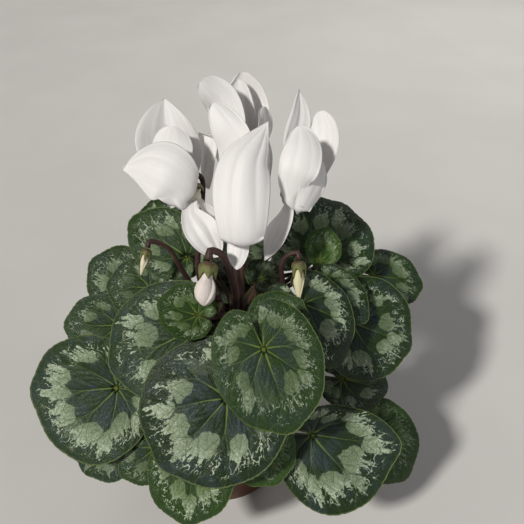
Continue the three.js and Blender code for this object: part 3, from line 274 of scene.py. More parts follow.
# A flower's heart is the middle of its tube's mouth, and its stalk's way rises from a little
# over the crown, both in the facing frame. A petal starts around the mouth, runs its way to
# its tip, and looks the two ways of face at its foot and tip. half is its widest half width,
# cup how far its sides bend towards its face, crease a fold along its middle, tip how sharply
# it closes, foot its width at its foot as a share of its widest, pleats the depth of the
# furrows along it, and ease how much the way of its sides is smoothed.
BLOOMS = {
    "bloom_left": {
        "heart": (-28.8, 23.6, 16),
        "stalk": [(-26.5, -5.4, 0), (-26, 9.1, 5), (-24.5, 23.6, 8), (-24.5, 34, 11)],
        "petals": [
            Petal(215, [(-37, 33, 6), (-39.5, 46, 4), (-40.6, 58, 3), (-41, 68.4, 0)],
                  [(-0.82, 0, -0.57), (-0.1, 0, -1)], 15.2, -22, -0.16, 1, ease=0.6),
            Petal(160, [(-38.5, 30, 19), (-38, 40, 17.5), (-37, 47, 15.5), (-36.2, 54.7, 13)],
                  [(-0.94, 0, 0.34), (-0.1, 0.2, 1)], 11.4, -30, 0, 0.45, ease=0.6),
            Petal(100, [(-29.8, 27.2, 26.5), (-35.4, 33.6, 30), (-44.4, 37, 27.6), (-54.5, 36.1, 22)],
                  [(0.2, 0, 1), (-0.5, 0.1, 1)], 13.2, -30, 0, 1.35, foot=0.5, pleats=0.35, ease=1),
            Petal(70, [(-27.6, 19, 23), (-22.4, 10.8, 26), (-16.7, 2.3, 24)],
                  [(0, 0.2, 1), (0, 0.3, 1)], 6.7, 20, -0.2, 0.6, pleats=0.45),
            Petal(10, [(-22.5, 21, 16), (-19.6, 16, 16.5), (-16.2, 10, 15.5)],
                  [(0.5, 0.5, 1), (0.3, 0.3, 1)], 4.6, 20, 0, 0.6, pleats=0.3),
        ],
    },
    "bloom_front": {
        "heart": (-7.1, 15.7, 22),
        "stalk": [(-8.5, -15.9, 2), (-10, -5.3, 10), (-12, 6.8, 14), (-13.5, 17, 15.6), (-12.5, 26, 18)],
        "petals": [
            Petal(165, [(-14.4, 24, 21), (-11.2, 35.5, 22.5), (-10.6, 45, 23.5),
                        (-14.1, 53.5, 24), (-19, 62, 23)],
                  [(-0.97, 0, 0.26), (0, 0.1, 1)], 8.3, -20, 0, 0.5, pleats=0.25),
            Petal(95, [(-7, 8.2, 28), (-7.3, 6.2, 32), (-7.6, 12.5, 36), (-7.6, 28.2, 37),
                       (-5.9, 38.5, 36), (-2.3, 45.5, 33), (2.2, 53.4, 28)],
                  [(0, -1, 0), (0, 0.3, 1)], 12.2, -46, 0, 1.2, foot=0.62, pleats=0.85),
            Petal(120, [(-9.2, 7, 25), (-9.8, -3, 27)],
                  [(0, 0, 1), (0, 0.2, 1)], 4.4, -20, 0, 0.7),
            Petal(15, [(0.3, 18, 21.5), (1.2, 28.4, 22), (1.2, 42.2, 22), (0.3, 54, 20)],
                  [(0.95, 0, 0.3), (0.9, 0.1, 0.45)], 8.6, -20, 0, 0.6),
            Petal(280, [(-6, 24, 10), (-6, 36, 8.5), (-5.6, 49, 9)],
                  [(0.17, 0, -0.98), (0, 0.1, -1)], 9.5, -18, 0, 0.7),
        ],
    },
    "bloom_back": {
        "heart": (-9.3, 38.9, -2),
        "stalk": [(-8.5, -5, -13), (-7, 14, -9), (-5.6, 31, 2.6), (-5, 43, 5), (-6, 50, 3)],
        "petals": [
            Petal(162, [(-15.8, 48, -1.2), (-14.3, 58, 0), (-17.4, 67.6, 3), (-24.6, 74.6, 7)],
                  [(-0.94, 0, 0.34), (-0.1, 0.2, 1)], 8.4, -26, 0, 0.35, pleats=0.4),
            Petal(265, [(-8.5, 53.7, -14), (-7, 69.5, -15), (-8.4, 81.8, -9)],
                  [(-0.09, 0, -1), (0, 0.3, -1)], 12, -50, 0, 0.5, pleats=0.3),
            Petal(205, [(-18.5, 48, -4), (-22, 53.6, -2.5), (-22.8, 44, 0.5), (-22.2, 30.4, 2)],
                  [(-0.94, 0, 0.34), (-0.4, 0, 1)], 5, -16, 0, 0.8),
            Petal(5, [(-0.4, 47.6, -2), (1.6, 58.2, -3), (1, 66, -4)],
                  [(1, 0, 0.09), (0.9, 0, 0.6)], 7.5, -18, 0, 0.6),
            Petal(300, [(-6, 48, -11), (-9.6, 64, -10.8), (-10.3, 78.2, -6.5)],
                  [(0.2, 0, -1), (0, 0.3, -1)], 9, -60, 0, 0.45),
        ],
    },
    "bloom_right": {
        "heart": (14.1, 25.7, 14),
        "stalk": [(-1, -5, -11), (4.8, 11, -4), (11, 21, 0), (15, 30, 3.5), (15.7, 35.5, 6)],
        "petals": [
            Petal(215, [(10.5, 33.5, 7), (13, 48.2, 6), (15.6, 60.6, 5), (15.5, 72, 2)],
                  [(-0.82, 0, -0.57), (-0.5, 0.1, -1)], 6.6, -20, -0.14, 0.9),
            Petal(95, [(12.8, 31, 24.5), (14.4, 36.5, 26.5), (16, 44.5, 25.5), (15.2, 53.4, 21)],
                  [(0.09, 0, 1), (0, 0.2, 1)], 8.5, -30, 0, 0.55, foot=0.5, pleats=0.25),
            Petal(330, [(21, 32, 7), (24.2, 44, 6), (25.4, 54, 5), (24.3, 62.8, 2)],
                  [(0.87, 0, -0.5), (0.2, 0.1, -1)], 8, -22, 0, 0.5, pleats=0.25),
            Petal(60, [(15.4, 20, 19.5), (17.7, 24, 21.2), (21, 30.6, 19.5), (24.4, 40, 14.5)],
                  [(0.5, -0.8, 0.6), (0.5, 0.1, 1)], 6, -30, 0, 0.6, pleats=0.25),
            Petal(130, [(9.6, 18, 18), (5.8, 10.4, 17), (1.2, 0.6, 14)],
                  [(-0.2, 0.3, 1), (-0.2, 0.3, 1)], 4.6, 24, 0, 1),
        ],
    },
}

# A closed bud hangs from top to tip on a stalk of radius stem. swell is its greatest radius, calyx
# that of its calyx, and form its radii along it: the share of its length, and of swell. points
# is how long its sepals are drawn out, and tint runs from cream at 0 over pink to brown at 1.
Bud = namedtuple("Bud", "stalk top tip swell calyx stem form points tint")

SLIM_BUD = [(0.28, 0.82), (0.42, 0.78), (0.6, 0.6), (0.78, 0.4), (0.92, 0.2), (1, 0.06)]
BLUNT_BUD = [(0.28, 0.76), (0.42, 0.96), (0.6, 1.04), (0.8, 0.9), (0.93, 0.55), (1, 0.12)]

BUDS = {
    "bud_1": Bud([(-31.5, -6.2, 3), (-34.8, 0.4, 9), (-38, 5.7, 12), (-42.6, 8, 14)],
                 (-45.9, 5.4, 15), (-48.6, -5.4, 15), 1.8, 2.2, 0.95, SLIM_BUD, 1.9, 0.15),
    "bud_2": Bud([(-10.8, -17.8, 5), (-11.8, -7.1, 20), (-13.4, -0.4, 30), (-15.3, 3, 34)],
                 (-19.9, 0.4, 35.5), (-21.7, -16.4, 36), 4.2, 3.7, 1.3, BLUNT_BUD, 1, 0.5),
    "bud_3": Bud([(5.5, -17, -4), (8.4, -8, 6), (7.9, -2, 11), (10.2, 2.6, 14)],
                 (14.6, 0.6, 16), (14.8, -15.8, 16), 2.9, 3, 1, SLIM_BUD, 1.9, 0),
    "bud_4": Bud([(-15.4, -21, 12), (-15.8, -16.4, 20)],
                 (-17.3, -15.4, 23), (-17, -21, 23), 1.5, 1.7, 0.8, SLIM_BUD, 1.5, 1),
}

# The rings of a calyx, from its top down its outside and up into its mouth: the share of its
# radius, and how far the points of its sepals and the notches between them have come, as
# shares of its dome
BLOOM_CALYX_RINGS = [
    (0.02, 0, 0), (0.2, 0, 0), (0.42, 0.06, 0.06), (0.66, 0.24, 0.24), (0.84, 0.5, 0.5),
    (0.96, 0.95, 0.8), (1, 1.4, 1.02), (0.99, 1.75, 1.1), (0.9, 1.77, 1.12),
    (0.86, 1.5, 1.06), (0.8, 1, 1), (0.4, 1, 1), (0.02, 1, 1),
]
BUD_CALYX_RINGS = [
    (0.02, 0, 0), (0.24, 0.01, 0.01), (0.5, 0.07, 0.07), (0.74, 0.18, 0.18), (0.91, 0.35, 0.35),
    (0.99, 0.58, 0.55), (1, 0.84, 0.76), (0.97, 1.12, 0.93), (0.93, 1.42, 1.04),
    (0.87, 1.75, 1.1), (0.81, 1.76, 1.1), (0.77, 1.4, 1.04), (0.74, 1, 1), (0.4, 1, 1), (0.02, 1, 1),
]


# Numbers and directions

def unit(vectors):
    """Vectors scaled to length one."""
    vectors = np.asarray(vectors, float)
    return vectors / np.maximum(np.linalg.norm(vectors, axis=-1, keepdims=True), 1e-12)


def square_to(forward, vectors):
    """Vectors turned square to the forward ones, at length one."""
    return unit(vectors - forward * (vectors * forward).sum(-1, keepdims=True))


def smoothstep(low, high, value):
    """0 at low, 1 at high, and a soft step between."""
    share = np.clip((np.asarray(value, float) - low) / (high - low), 0, 1)
    return share * share * (3 - 2 * share)


def from_facing(points):
    """Points of the facing frame in the plant's own frame."""
    return FACING_ORIGIN + np.asarray(points, float) @ FACING


def to_facing(points):
    """Points of the plant's own frame in the facing frame."""
    return (np.asarray(points, float) - FACING_ORIGIN) @ FACING.T


def linear(red, green, blue_sheen):
    """A colour given as eight-bit sRGB, in the linear values that materials use."""
    shares = [value / 255 for value in (red, green, blue_sheen)]
    return tuple(s / 12.92 if s <= 0.04045 else ((s + 0.055) / 1.055) ** 2.4 for s in shares)


class Path:
    """A curve read by its length: through points, or a cubic with two handles."""

    STEPS = 200

    def __init__(self, places):
        self.places = places
        lengths = np.linalg.norm(np.diff(places, axis=0), axis=1)
        self.along = np.concatenate([[0], np.cumsum(lengths)])
        self.length = self.along[-1]

    @classmethod
    def through(cls, points):
        """A centripetal Catmull-Rom curve through the points."""
        points = np.asarray(points, float)
        ends = np.array([2 * points[0] - points[1], *points, 2 * points[-1] - points[-2]])
        count = len(points) - 1
        where = np.linspace(0, count, cls.STEPS + 1)
        index = np.minimum(where.astype(int), count - 1)
        share = (where - index)[:, None]
        p0, p1, p2, p3 = (ends[index + offset] for offset in range(4))
        gaps = [np.linalg.norm(b - a, axis=1)[:, None] ** 0.5 for a, b in ((p0, p1), (p1, p2), (p2, p3))]
        d0, d1, d2 = (np.maximum(gap, 1e-4) for gap in gaps)
        start = (p1 - p0) / d0 - (p2 - p0) / (d0 + d1) + (p2 - p1) / d1
        finish = (p2 - p1) / d1 - (p3 - p1) / (d1 + d2) + (p3 - p2) / d2
        start, finish = start * d1, finish * d1
        cubic = -2 * p2 + 2 * p1 + start + finish
        square = 3 * p2 - 3 * p1 - 2 * start - finish
        return cls(p1 + start * share + square * share**2 + cubic * share**3)

    @classmethod
    def bezier(cls, a, b, c, d):
        """A cubic from a to d with handles b and c."""
        t = np.linspace(0, 1, cls.STEPS + 1)[:, None]
        return cls((1 - t) ** 3 * a + 3 * (1 - t) ** 2 * t * b + 3 * (1 - t) * t * t * c + t**3 * d)

    def at(self, shares):
        """Places at these shares of the length."""
        where = np.clip(np.asarray(shares, float), 0, 1) * self.length
        return np.stack([np.interp(where, self.along, self.places[:, k]) for k in range(3)], -1)

    def forward(self, shares):
        """Directions at these shares of the length."""
        shares = np.asarray(shares, float)
        return unit(self.at(shares + 0.004) - self.at(shares - 0.004))


# Meshes

def grid_faces(rows, columns, closed=False, first=0):
    """Quads over a grid of points that is numbered row by row."""
    here = np.arange(columns if closed else columns - 1)
    after = (here + 1) % columns
    base = first + np.arange(rows - 1)[:, None] * columns
    corners = [base + here, base + after, base + after + columns, base + here + columns]
    return np.stack(corners, -1).reshape(-1, 4).tolist()


class Skin:
    """Points, faces and named values of one mesh, built up from several pieces."""

    def __init__(self):
        self.points = []
        self.faces = []
        self.values = {}

    def add(self, points, faces, **values):
        """Adds a piece, whose faces count its own points, and gives the skin back."""
        first = len(self.points)
        points = np.asarray(points, float).reshape(-1, 3)
        self.points.extend(points)
        self.faces.extend([[first + corner for corner in face] for face in faces])
        for name in sorted({*self.values, *values}):
            column = self.values.setdefault(name, np.zeros(first))
            more = np.broadcast_to(np.asarray(values.get(name, 0.0), float), len(points))
            self.values[name] = np.concatenate([column, more])
        return self

    def build(self, name, material, replaced=None, slot=None):
        """Makes the object, rides it on the part and hides the part that it replaces."""
        mesh = bpy.data.meshes.new(name)
        mesh.from_pydata((np.array(self.points) * MM).tolist(), [], self.faces)
        for key, column in self.values.items():
            attribute = mesh.attributes.new(key, "FLOAT", "POINT")
            attribute.data.foreach_set("value", column.astype(np.float32))
        mesh.validate()
        mesh.shade_smooth()
        mesh.materials.append(material)
        piece = bpy.data.objects.new(name, mesh)
        bpy.context.scene.collection.objects.link(piece)
        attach(piece, "root")
        if replaced:
            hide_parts(replaced)
        return piece


def closed_rings(rings, foot, head):
    """Points and faces of a body of rings that is closed to a foot and to a head."""
    count, sides = len(rings), len(rings[0])
    points = np.vstack([*rings, [foot], [head]])
    faces = grid_faces(count, sides, closed=True)
    low, high, last = count * sides, count * sides + 1, (count - 1) * sides
    for side in range(sides):
        after = (side + 1) % sides
        faces.append([low, after, side])
        faces.append([high, last + side, last + after])
    return points, faces


def turned(profile, sides):
    """Points and faces of a body turned about z, from [radius, height] pairs off the axis."""
    angles = np.linspace(0, 2 * math.pi, sides, endpoint=False)
    rings = [
        np.stack([radius * np.cos(angles), radius * np.sin(angles), np.full(sides, height)], -1)
        for radius, height in profile
    ]
    return closed_rings(rings, [0, 0, profile[0][1]], [0, 0, profile[-1][1]])


def tube(path, radii, sides, steps, bulge=0.0):
    """Points, faces and the share along of a round tube on a path, closed at both ends."""
    shares = np.linspace(0, 1, steps + 1)
    centres, forward = path.at(shares), path.forward(shares)
    side = unit(np.cross(forward[0], [0.31, 0.87, 0.38]))
    angles = np.linspace(0, 2 * math.pi, sides, endpoint=False)[:, None]
    rings = []
    for step, share in enumerate(shares):
        side = square_to(forward[step], side)
        up = np.cross(forward[step], side)
        radius = np.interp(share, *radii) * (1 + bulge * np.sin(2 * angles + 5 * share))
        rings.append(centres[step] + radius * (np.cos(angles) * side + np.sin(angles) * up))
    points, faces = closed_rings(rings, centres[0], centres[-1])
    return points, faces, np.concatenate([np.repeat(shares, sides), [0, 1]])


def standing_at(points, foot, head):
    """Turns points that stand on the origin along z so that they reach from foot to head."""
    direction = unit(np.asarray(head, float) - foot)
    turn = Vector((0, 0, 1)).rotation_difference(Vector(direction)).to_matrix()
    return np.asarray(points) @ np.array(turn).T + foot


# Leaf blades

def blade_reach(leaf, bearing):
    """How far the outline lies from the stalk point, at bearings from the tip."""
    middle = (leaf.length - leaf.back) / 2
    along = (leaf.length + leaf.back) / 2
    c, s = np.cos(bearing), np.sin(bearing)
    half = leaf.half * (1 + leaf.skew * np.sign(bearing))
    a = (c / along) ** 2 + (s / half) ** 2
    b = -2 * c * middle / along**2
    d = (middle / along) ** 2 - 1
    ellipse = (-b + np.sqrt(b * b - 4 * a * d)) / (2 * a)
    tip = 1 + TIP_POINT * np.exp(-((bearing / TIP_SPAN) ** 2))
    lobe = 1 - LOBE_ROUNDING * np.exp(-(((math.pi - np.abs(bearing)) / LOBE_SPAN) ** 2))
    return ellipse * tip * lobe


def blade_height(leaf, x, y):
    """The blade's height over its own plane, at x towards the tip and y to its left."""
    u, v = x / leaf.length, y / leaf.length
    bearing = np.arctan2(y, x)
    edge = np.minimum(1.2, np.hypot(x, y) / blade_reach(leaf, bearing))
    valley = leaf.fold * (np.sqrt(v * v + FOLD_SOFTNESS**2) - FOLD_SOFTNESS)
    wave = leaf.wave * edge**3 * np.sin(MARGIN_WAVES * bearing + leaf.length) / leaf.length
    return leaf.length * (valley - leaf.dome * (u * u + v * v) + wave)


def blade_axes(name, leaf):
    """The blade's tip direction, left side and face in the plant's frame, as rows."""
    point, turn, nod = map(math.radians, (leaf.point, leaf.turn, leaf.nod))
    if name in BACK_LEAVES:
        level = np.array([math.cos(point), math.sin(point), 0])
        tip = level * math.cos(nod) - [0, 0, math.sin(nod)]
        left = np.array([-math.sin(point), math.cos(point), 0])
        return np.stack([tip, left, np.cross(tip, left)])
    level = math.cos(nod)
    face = np.array([math.sin(turn) * level, math.sin(nod), math.cos(turn) * level])
    tip = np.array([math.cos(point), math.sin(point), 0])
    tip[2] = -(tip @ face) / face[2]
    tip = unit(tip)
    return np.stack([tip, np.cross(face, tip), face]) @ FACING


def blade_place(name, leaf):
    """Where the packed blade's stalk point lies: its outline, laid in the packed blade's box."""
    bearing = np.linspace(-1, 1, PACKED_RAYS + 1) * (math.pi - SINUS_HALF_ANGLE)
    points = [np.zeros((1, 3))]
    for ring in range(1, PACKED_RINGS + 1):
        reach = blade_reach(leaf, bearing) * (ring / PACKED_RINGS) ** RING_SPACING
        x, y = reach * np.cos(bearing), reach * np.sin(bearing)
        points.append(np.stack([x, y, blade_height(leaf, x, y)], -1))
    top = np.vstack(points)
    both = np.vstack([top, top - [0, 0, PACKED_THICKNESS]]) @ blade_axes(name, leaf)
    low, high = (np.array(corner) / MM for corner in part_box(name))
    return (low + high) / 2 - (both.min(0) + both.max(0)) / 2


def fan_of(leaf, bearing, share):
    """Counts the main veins round the stalk point. They curve towards the tip as they run out."""
    curve = 1 + VEIN_CURVE * share * np.cos(bearing / 2) ** 2
    sway = VEIN_SWAY * np.sin(3.1 * share + 1.7 * leaf.length) * np.sin(bearing + leaf.half)
    return bearing * curve / VEIN_ANGLE + sway


def vein_relief(fan, share, size, seed):
    """How far the blade's face sinks along its veins, and swells between them, as shares."""
    number = np.round(fan)
    beside = np.abs(fan - number)
    start = FORK_START + FORK_SCATTER * np.sin(1.7 * number + seed)
    branch = VEIN_FORK * smoothstep(start, start + FORK_RUN, share)
    main_gap = np.abs(beside - branch) * VEIN_ANGLE * share * size
    climb = share * SIDE_VEINS - beside * SIDE_VEIN_SLANT + 0.5 * (fan % 1 > 0.5)
    side_gap = np.abs(climb - np.round(climb)) * size / 7
    main = np.exp(-((main_gap / MAIN_VEIN_WIDTH) ** 2)) * smoothstep(1.05, 0.5, share)
    side = 0.45 * np.exp(-((side_gap / SIDE_VEIN_WIDTH) ** 2)) * smoothstep(0.1, 0.3, share)
    swell = np.minimum(1, main_gap / 3) * np.minimum(1, side_gap / 1.6)
    return main + side, swell * smoothstep(1, 0.8, share)


def blade_faces(rays, rings):
    """Faces of a blade. Its points are the middles of its top and its underside, then the rings
    of its top and those of its underside."""
    count = rings * rays
    grid = np.array(grid_faces(rings, rays, first=2))
    faces = grid.tolist() + (grid[:, ::-1] + count).tolist()
    rim_start = 2 + (rings - 1) * rays
    for ray in range(rays - 1):
        faces.append([0, 2 + ray, 3 + ray])
        faces.append([1, 3 + ray + count, 2 + ray + count])
        a, b = rim_start + ray, rim_start + ray + 1
        faces.append([a, a + count, b + count, b])
    # the walls of the notch, along the first ray and the last
    for first, flipped in ((2, False), (1 + rays, True)):
        ladder = [(0, 1)] + [(first + ring * rays, first + ring * rays + count) for ring in range(rings)]
        for (a, under_a), (b, under_b) in zip(ladder, ladder[1:]):
            wall = [b, a, under_a, under_b]
            faces.append(wall[::-1] if flipped else wall)
    return faces


def make_leaf(name, leaf, look, material):
    """One blade, closed and thin, with veins, quilting and a toothed margin."""
    bearing = np.linspace(-1, 1, BLADE_RAYS + 1) * (math.pi - SINUS_HALF_ANGLE)
    shares = (np.arange(1, BLADE_RINGS + 1) / BLADE_RINGS) ** RING_SPACING
    share, angle = (grid.ravel() for grid in np.meshgrid(shares, bearing, indexing="ij"))
    rim = blade_reach(leaf, angle)
    fan = fan_of(leaf, angle, share)
    teeth = look.margin_teeth / MM * np.abs(np.sin(angle * MARGIN_TEETH / 2)) ** 0.7
    reach = rim * share + (teeth - 0.4 * teeth.max()) * smoothstep(0.9, 1, share)
    reach += look.margin_points / MM * (np.cos(2 * math.pi * fan) - 0.3) * smoothstep(0.6, 1, share)
    x, y = reach * np.cos(angle), reach * np.sin(angle)

    seed = float(int(name[-2:]))
    groove, swell = vein_relief(fan, share, rim, seed)
    relief = look.quilting / MM * swell - look.vein_depth / MM * groove
    curl = -0.5 * look.thickness / MM * smoothstep(0.93, 1, share)
    height = blade_height(leaf, x, y) + relief + curl
    thickness = look.thickness / MM * (1 - 0.7 * smoothstep(0.9, 1, share))
    middles = [[0, 0, blade_height(leaf, 0.0, 0.0)], [0, 0, -look.thickness / MM]]
    points = np.vstack([middles, np.stack([x, y, height], -1), np.stack([x, y, height - thickness], -1)])
    skin = Skin().add(
        points @ blade_axes(name, leaf) + blade_place(name, leaf), blade_faces(len(bearing), len(shares)),
        fan=np.concatenate([[0, 0], fan, fan]),
        share=np.concatenate([[0, 0], share, share]),
        flat_x=points[:, 0], flat_y=points[:, 1],
        under=np.concatenate([[0, 1], np.zeros(len(x)), np.ones(len(x))]),
        seed=seed, tone=leaf.tone, silver=leaf.silver, band=leaf.band,
    )
    return skin.build(f"{name}_blade", material, replaced=name, slot="leaf")


# Stalks

def free_roots():
    """Places on the crown for stalks to rise from, spread like seeds in a sunflower."""
    index = np.arange(ROOT_COUNT)
    radius = ROOT_SPREAD * np.sqrt((index + 0.5) / ROOT_COUNT)
    angle = index * GOLDEN_ANGLE
    return CROWN_TOP + np.stack([radius * np.cos(angle), radius * np.sin(angle), np.zeros(ROOT_COUNT)], -1)


def outward_to(place):
    """The level direction from the crown to a place."""
    return unit((np.asarray(place) - CROWN_TOP) * [1, 1, 0])


class Crown:
    """Hands out the places on the crown, the nearest free one to each wish."""

    def __init__(self):
        self.roots = list(free_roots())

    def take(self, outward, reach):
        """The nearest free place to a reach outwards, which is then taken."""
        wish = CROWN_TOP + outward * reach
        nearest = min(range(len(self.roots)), key=lambda k: np.linalg.norm(self.roots[k] - wish))
        return self.roots.pop(nearest)


def bloom_head(bloom):
    """Where a flower's calyx has its top, the mouth it opens towards, its radius and dome."""
    mouth = np.array(bloom["heart"], float)
    dome = BLOOM_CALYX_RADIUS * BLOOM_CALYX_DOME
    return mouth + [0, TUBE_LENGTH + SEAT_GAP + dome, 0], mouth, BLOOM_CALYX_RADIUS, dome


def bud_head(bud):
    """The same of a bud."""
    return np.array(bud.top, float), np.array(bud.tip, float), bud.calyx, bud.calyx * BUD_CALYX_DOME


def head_path(stalk, top, end, tip_radius, crown):
    """The way of a flower's or bud's stalk, from the crown to the top of its calyx."""
    up = unit(top - end)
    outward = outward_to(from_facing(stalk[0]))
    root = crown.take(outward, FLOWER_ROOT_SPREAD)
    way = [to_facing(root), *np.array(stalk, float), top + up * 3 * tip_radius, top + up * SEAT_GAP]
    return Path.through(from_facing(way))


def leaf_paths(name, leaf, root):
    """Every way that the stalk of a leaf may take from its root to its blade."""
    axes, place = blade_axes(name, leaf), blade_place(name, leaf)
    tip = place - axes[2] * (PACKED_THICKNESS + SEAT_GAP)
    if name in OVER_RIM:
        under = place - axes[0] * 4 - axes[2] * (PACKED_THICKNESS + 2.6)
        yield Path.through([root, *OVER_RIM[name], under, tip])
        return
    outward, run = outward_to(tip), np.linalg.norm(tip - root)
    side = np.array([-outward[1], outward[0], 0])
    up = np.array([0, 0, 1])
    for depth, hang, slant, swing, lift in itertools.product(*STALK_CHOICES):
        below = unit(-slant * axes[0] - axes[2])
        end = tip + below * run * depth + up * run * hang
        start = root + up * run * lift + outward * run * STALK_OUTSET + side * run * swing
        yield Path.bezier(root, start, end, tip)


def deepest(paths, packed):
    """The path that runs closest to the middle of the packed stalks all the way."""
    shares = np.linspace(0.12, 0.96, 13)
    best, best_depth = None, -1e9
    for path in paths:
        depth = 0.0
        for place in path.at(shares):
            found, normal, _, gap = packed.find_nearest(Vector(place * MM))
            inside = normal.dot(found - Vector(place * MM)) > 0
            depth += min(gap / MM, PETIOLE_RADIUS) if inside else -gap / MM
        if depth > best_depth:
            best, best_depth = path, depth
    return best


def make_crown(skin):
    """The lumpy top of the tuber, which every stalk grows from."""
    profile = [
        (0.2, -1.6), (CROWN_RADIUS, -1.5), (CROWN_RADIUS * 0.98, -0.6), (CROWN_RADIUS * 0.9, 0.4),
    ]
    for share in np.arange(CROWN_RINGS) / CROWN_RINGS:
        profile.append((CROWN_RADIUS * 0.8 * (1 - share**1.5), 1.1 + 0.5 * share))
    points, faces = turned(profile, CROWN_SIDES)
    x, y, z = points.T
    lumps = 0.45 * np.sin(1.9 * x + 2) * np.cos(2.1 * y - 1) + 0.25 * np.sin(4.3 * x) * np.sin(3.7 * y)
    points[:, 2] = z + lumps * smoothstep(-0.8, 1, z)
    skin.add(points + CROWN_TOP, faces, along=0.02, warm=1.0)


def make_stalks(look, material):
    """All the stalks and the crown they grow from, on the ways of the packed ones."""
    packed_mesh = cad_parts["stalks"].data
    packed_mesh.calc_loop_triangles()
    corners = [tuple(vertex.co) for vertex in packed_mesh.vertices]
    packed = BVHTree.FromPolygons(corners, [tuple(t.vertices) for t in packed_mesh.loop_triangles])
    crown, skin = Crown(), Skin()
    make_crown(skin)
    heads = [(bloom["stalk"], bloom_head(bloom), STALK_RADIUS * 0.8) for bloom in BLOOMS.values()]
    heads += [(bud.stalk, bud_head(bud), bud.stem) for bud in BUDS.values()]
    for stalk, (top, end, *_), tip_radius in heads:
        path = head_path(stalk, top, end, tip_radius, crown)
        radii = ([0, 0.06, 0.9, 1], [STALK_RADIUS * 1.3, STALK_RADIUS, tip_radius, tip_radius * 1.15])
        points, faces, along = tube(path, radii, FLOWER_STALK_SIDES, FLOWER_STALK_STEPS, bulge=0.03)
        skin.add(points, faces, along=along, warm=1.0)
    # a leaf stalk runs on through the gap under the packed blade, into the thinner one
    into_blade = PACKED_THICKNESS + SEAT_GAP - look.thickness / MM * 0.85
    radii = ([0, 0.08, 0.9, 1], [PETIOLE_RADIUS * swell for swell in (1.25, 1, 0.85, 1)])
    for name in LEAF_ORDER:
        leaf = EVERY_LEAF[name]
        root = crown.take(outward_to(blade_place(name, leaf)), ROOT_SPREAD)
        path = deepest(leaf_paths(name, leaf, root), packed)
        end = path.places[-1] + blade_axes(name, leaf)[2] * into_blade
        path = Path(np.vstack([path.places, end]))
        points, faces, along = tube(path, radii, LEAF_STALK_SIDES, LEAF_STALK_STEPS, bulge=0.04)
        skin.add(points, faces, along=along, warm=0.55)
    return skin.build("stalks_and_crown", material, replaced="stalks", slot="stalk")


# Flowers and buds

def petal_width(along, petal):
    """A petal's half width along its way."""
    opening = petal.foot + (1 - petal.foot) * smoothstep(0, PETAL_WIDEST, along)
    closing = np.maximum(0, (along - PETAL_WIDEST) / (1 - PETAL_WIDEST))
    return petal.half * opening * (1 - 0.98 * closing**2) ** petal.tip


def petal_path(heart, petal):
    """A petal's way from the wall of the tube. One that rises bows out round the calyx first."""
    mouth, angle = np.array(heart, float), math.radians(petal.around)
    out = np.array([math.cos(angle), 0, math.sin(angle)])
    foot = mouth + out * (TUBE_RADIUS - TUBE_WALL / 2) + [0, 1, 0]
    bow = mouth + out * PETAL_BOW - [0, PETAL_DIP, 0]
    rises = petal.way[0][1] > mouth[1]
    return Path.through([foot, bow, *petal.way] if rises else [foot, *petal.way])


def running_mean(rows, reach, **padding):
    """Each row's mean with the rows next to it, as many as the reach each way."""
    ends = [(reach, reach)] + [(0, 0)] * (rows.ndim - 1)
    padded = np.pad(rows, ends, **padding)
    return np.stack([padded[k:k + 2 * reach + 1].mean(0) for k in range(len(rows))])


def petal_frame(path, rows, face):
    """The middle of each of a petal's rows, and its directions to the side and towards its face."""
    centre, forward = path.at(rows), path.forward(rows)
    foot_face, tip_face = unit(face)
    normal = square_to(forward, foot_face + (tip_face - foot_face) * rows[:, None])
    # the sides turn evenly, so that a petal on a tight bend doesn't fold over itself
    side = square_to(forward, running_mean(np.cross(forward, normal), PETAL_EASE, mode="edge"))
    return centre, side, np.cross(side, forward)


def petal_relief(petal, look, along, across, width, seed):
    """How far a petal's ribs, waves, furrows, rolled edge and crease lift it towards its face."""
    ribs = look.rib_height / MM * np.sin(across * RIB_TURNS + 2 * np.sin(3 * along + seed))
    ribs *= 1 - across**2
    ripple = look.edge_wave / MM * np.sin(EDGE_TURNS * along + 2.3 * np.sign(across) + seed)
    ripple *= np.abs(across) ** 3 * smoothstep(0.08, 0.4, along)
    phase = across * (FURROW_TURNS + FURROW_SPREAD * along) + 1.1 * np.sin(2.2 * along + seed) + seed
    furrows = petal.pleats * (np.abs(np.sin(phase)) ** 0.8 - 0.6) * (1 - across**4)
    furrows *= smoothstep(0.2, 0.6, along) * smoothstep(1.02, 0.8, along)
    roll = look.edge_roll / MM * smoothstep(0.86, 1, np.abs(across)) * smoothstep(0.1, 0.3, along)
    crease = petal.crease * width * np.minimum(np.abs(across), 0.35) * (0.8 + 1.8 * along**2)
    return ribs + ripple + furrows + roll + crease


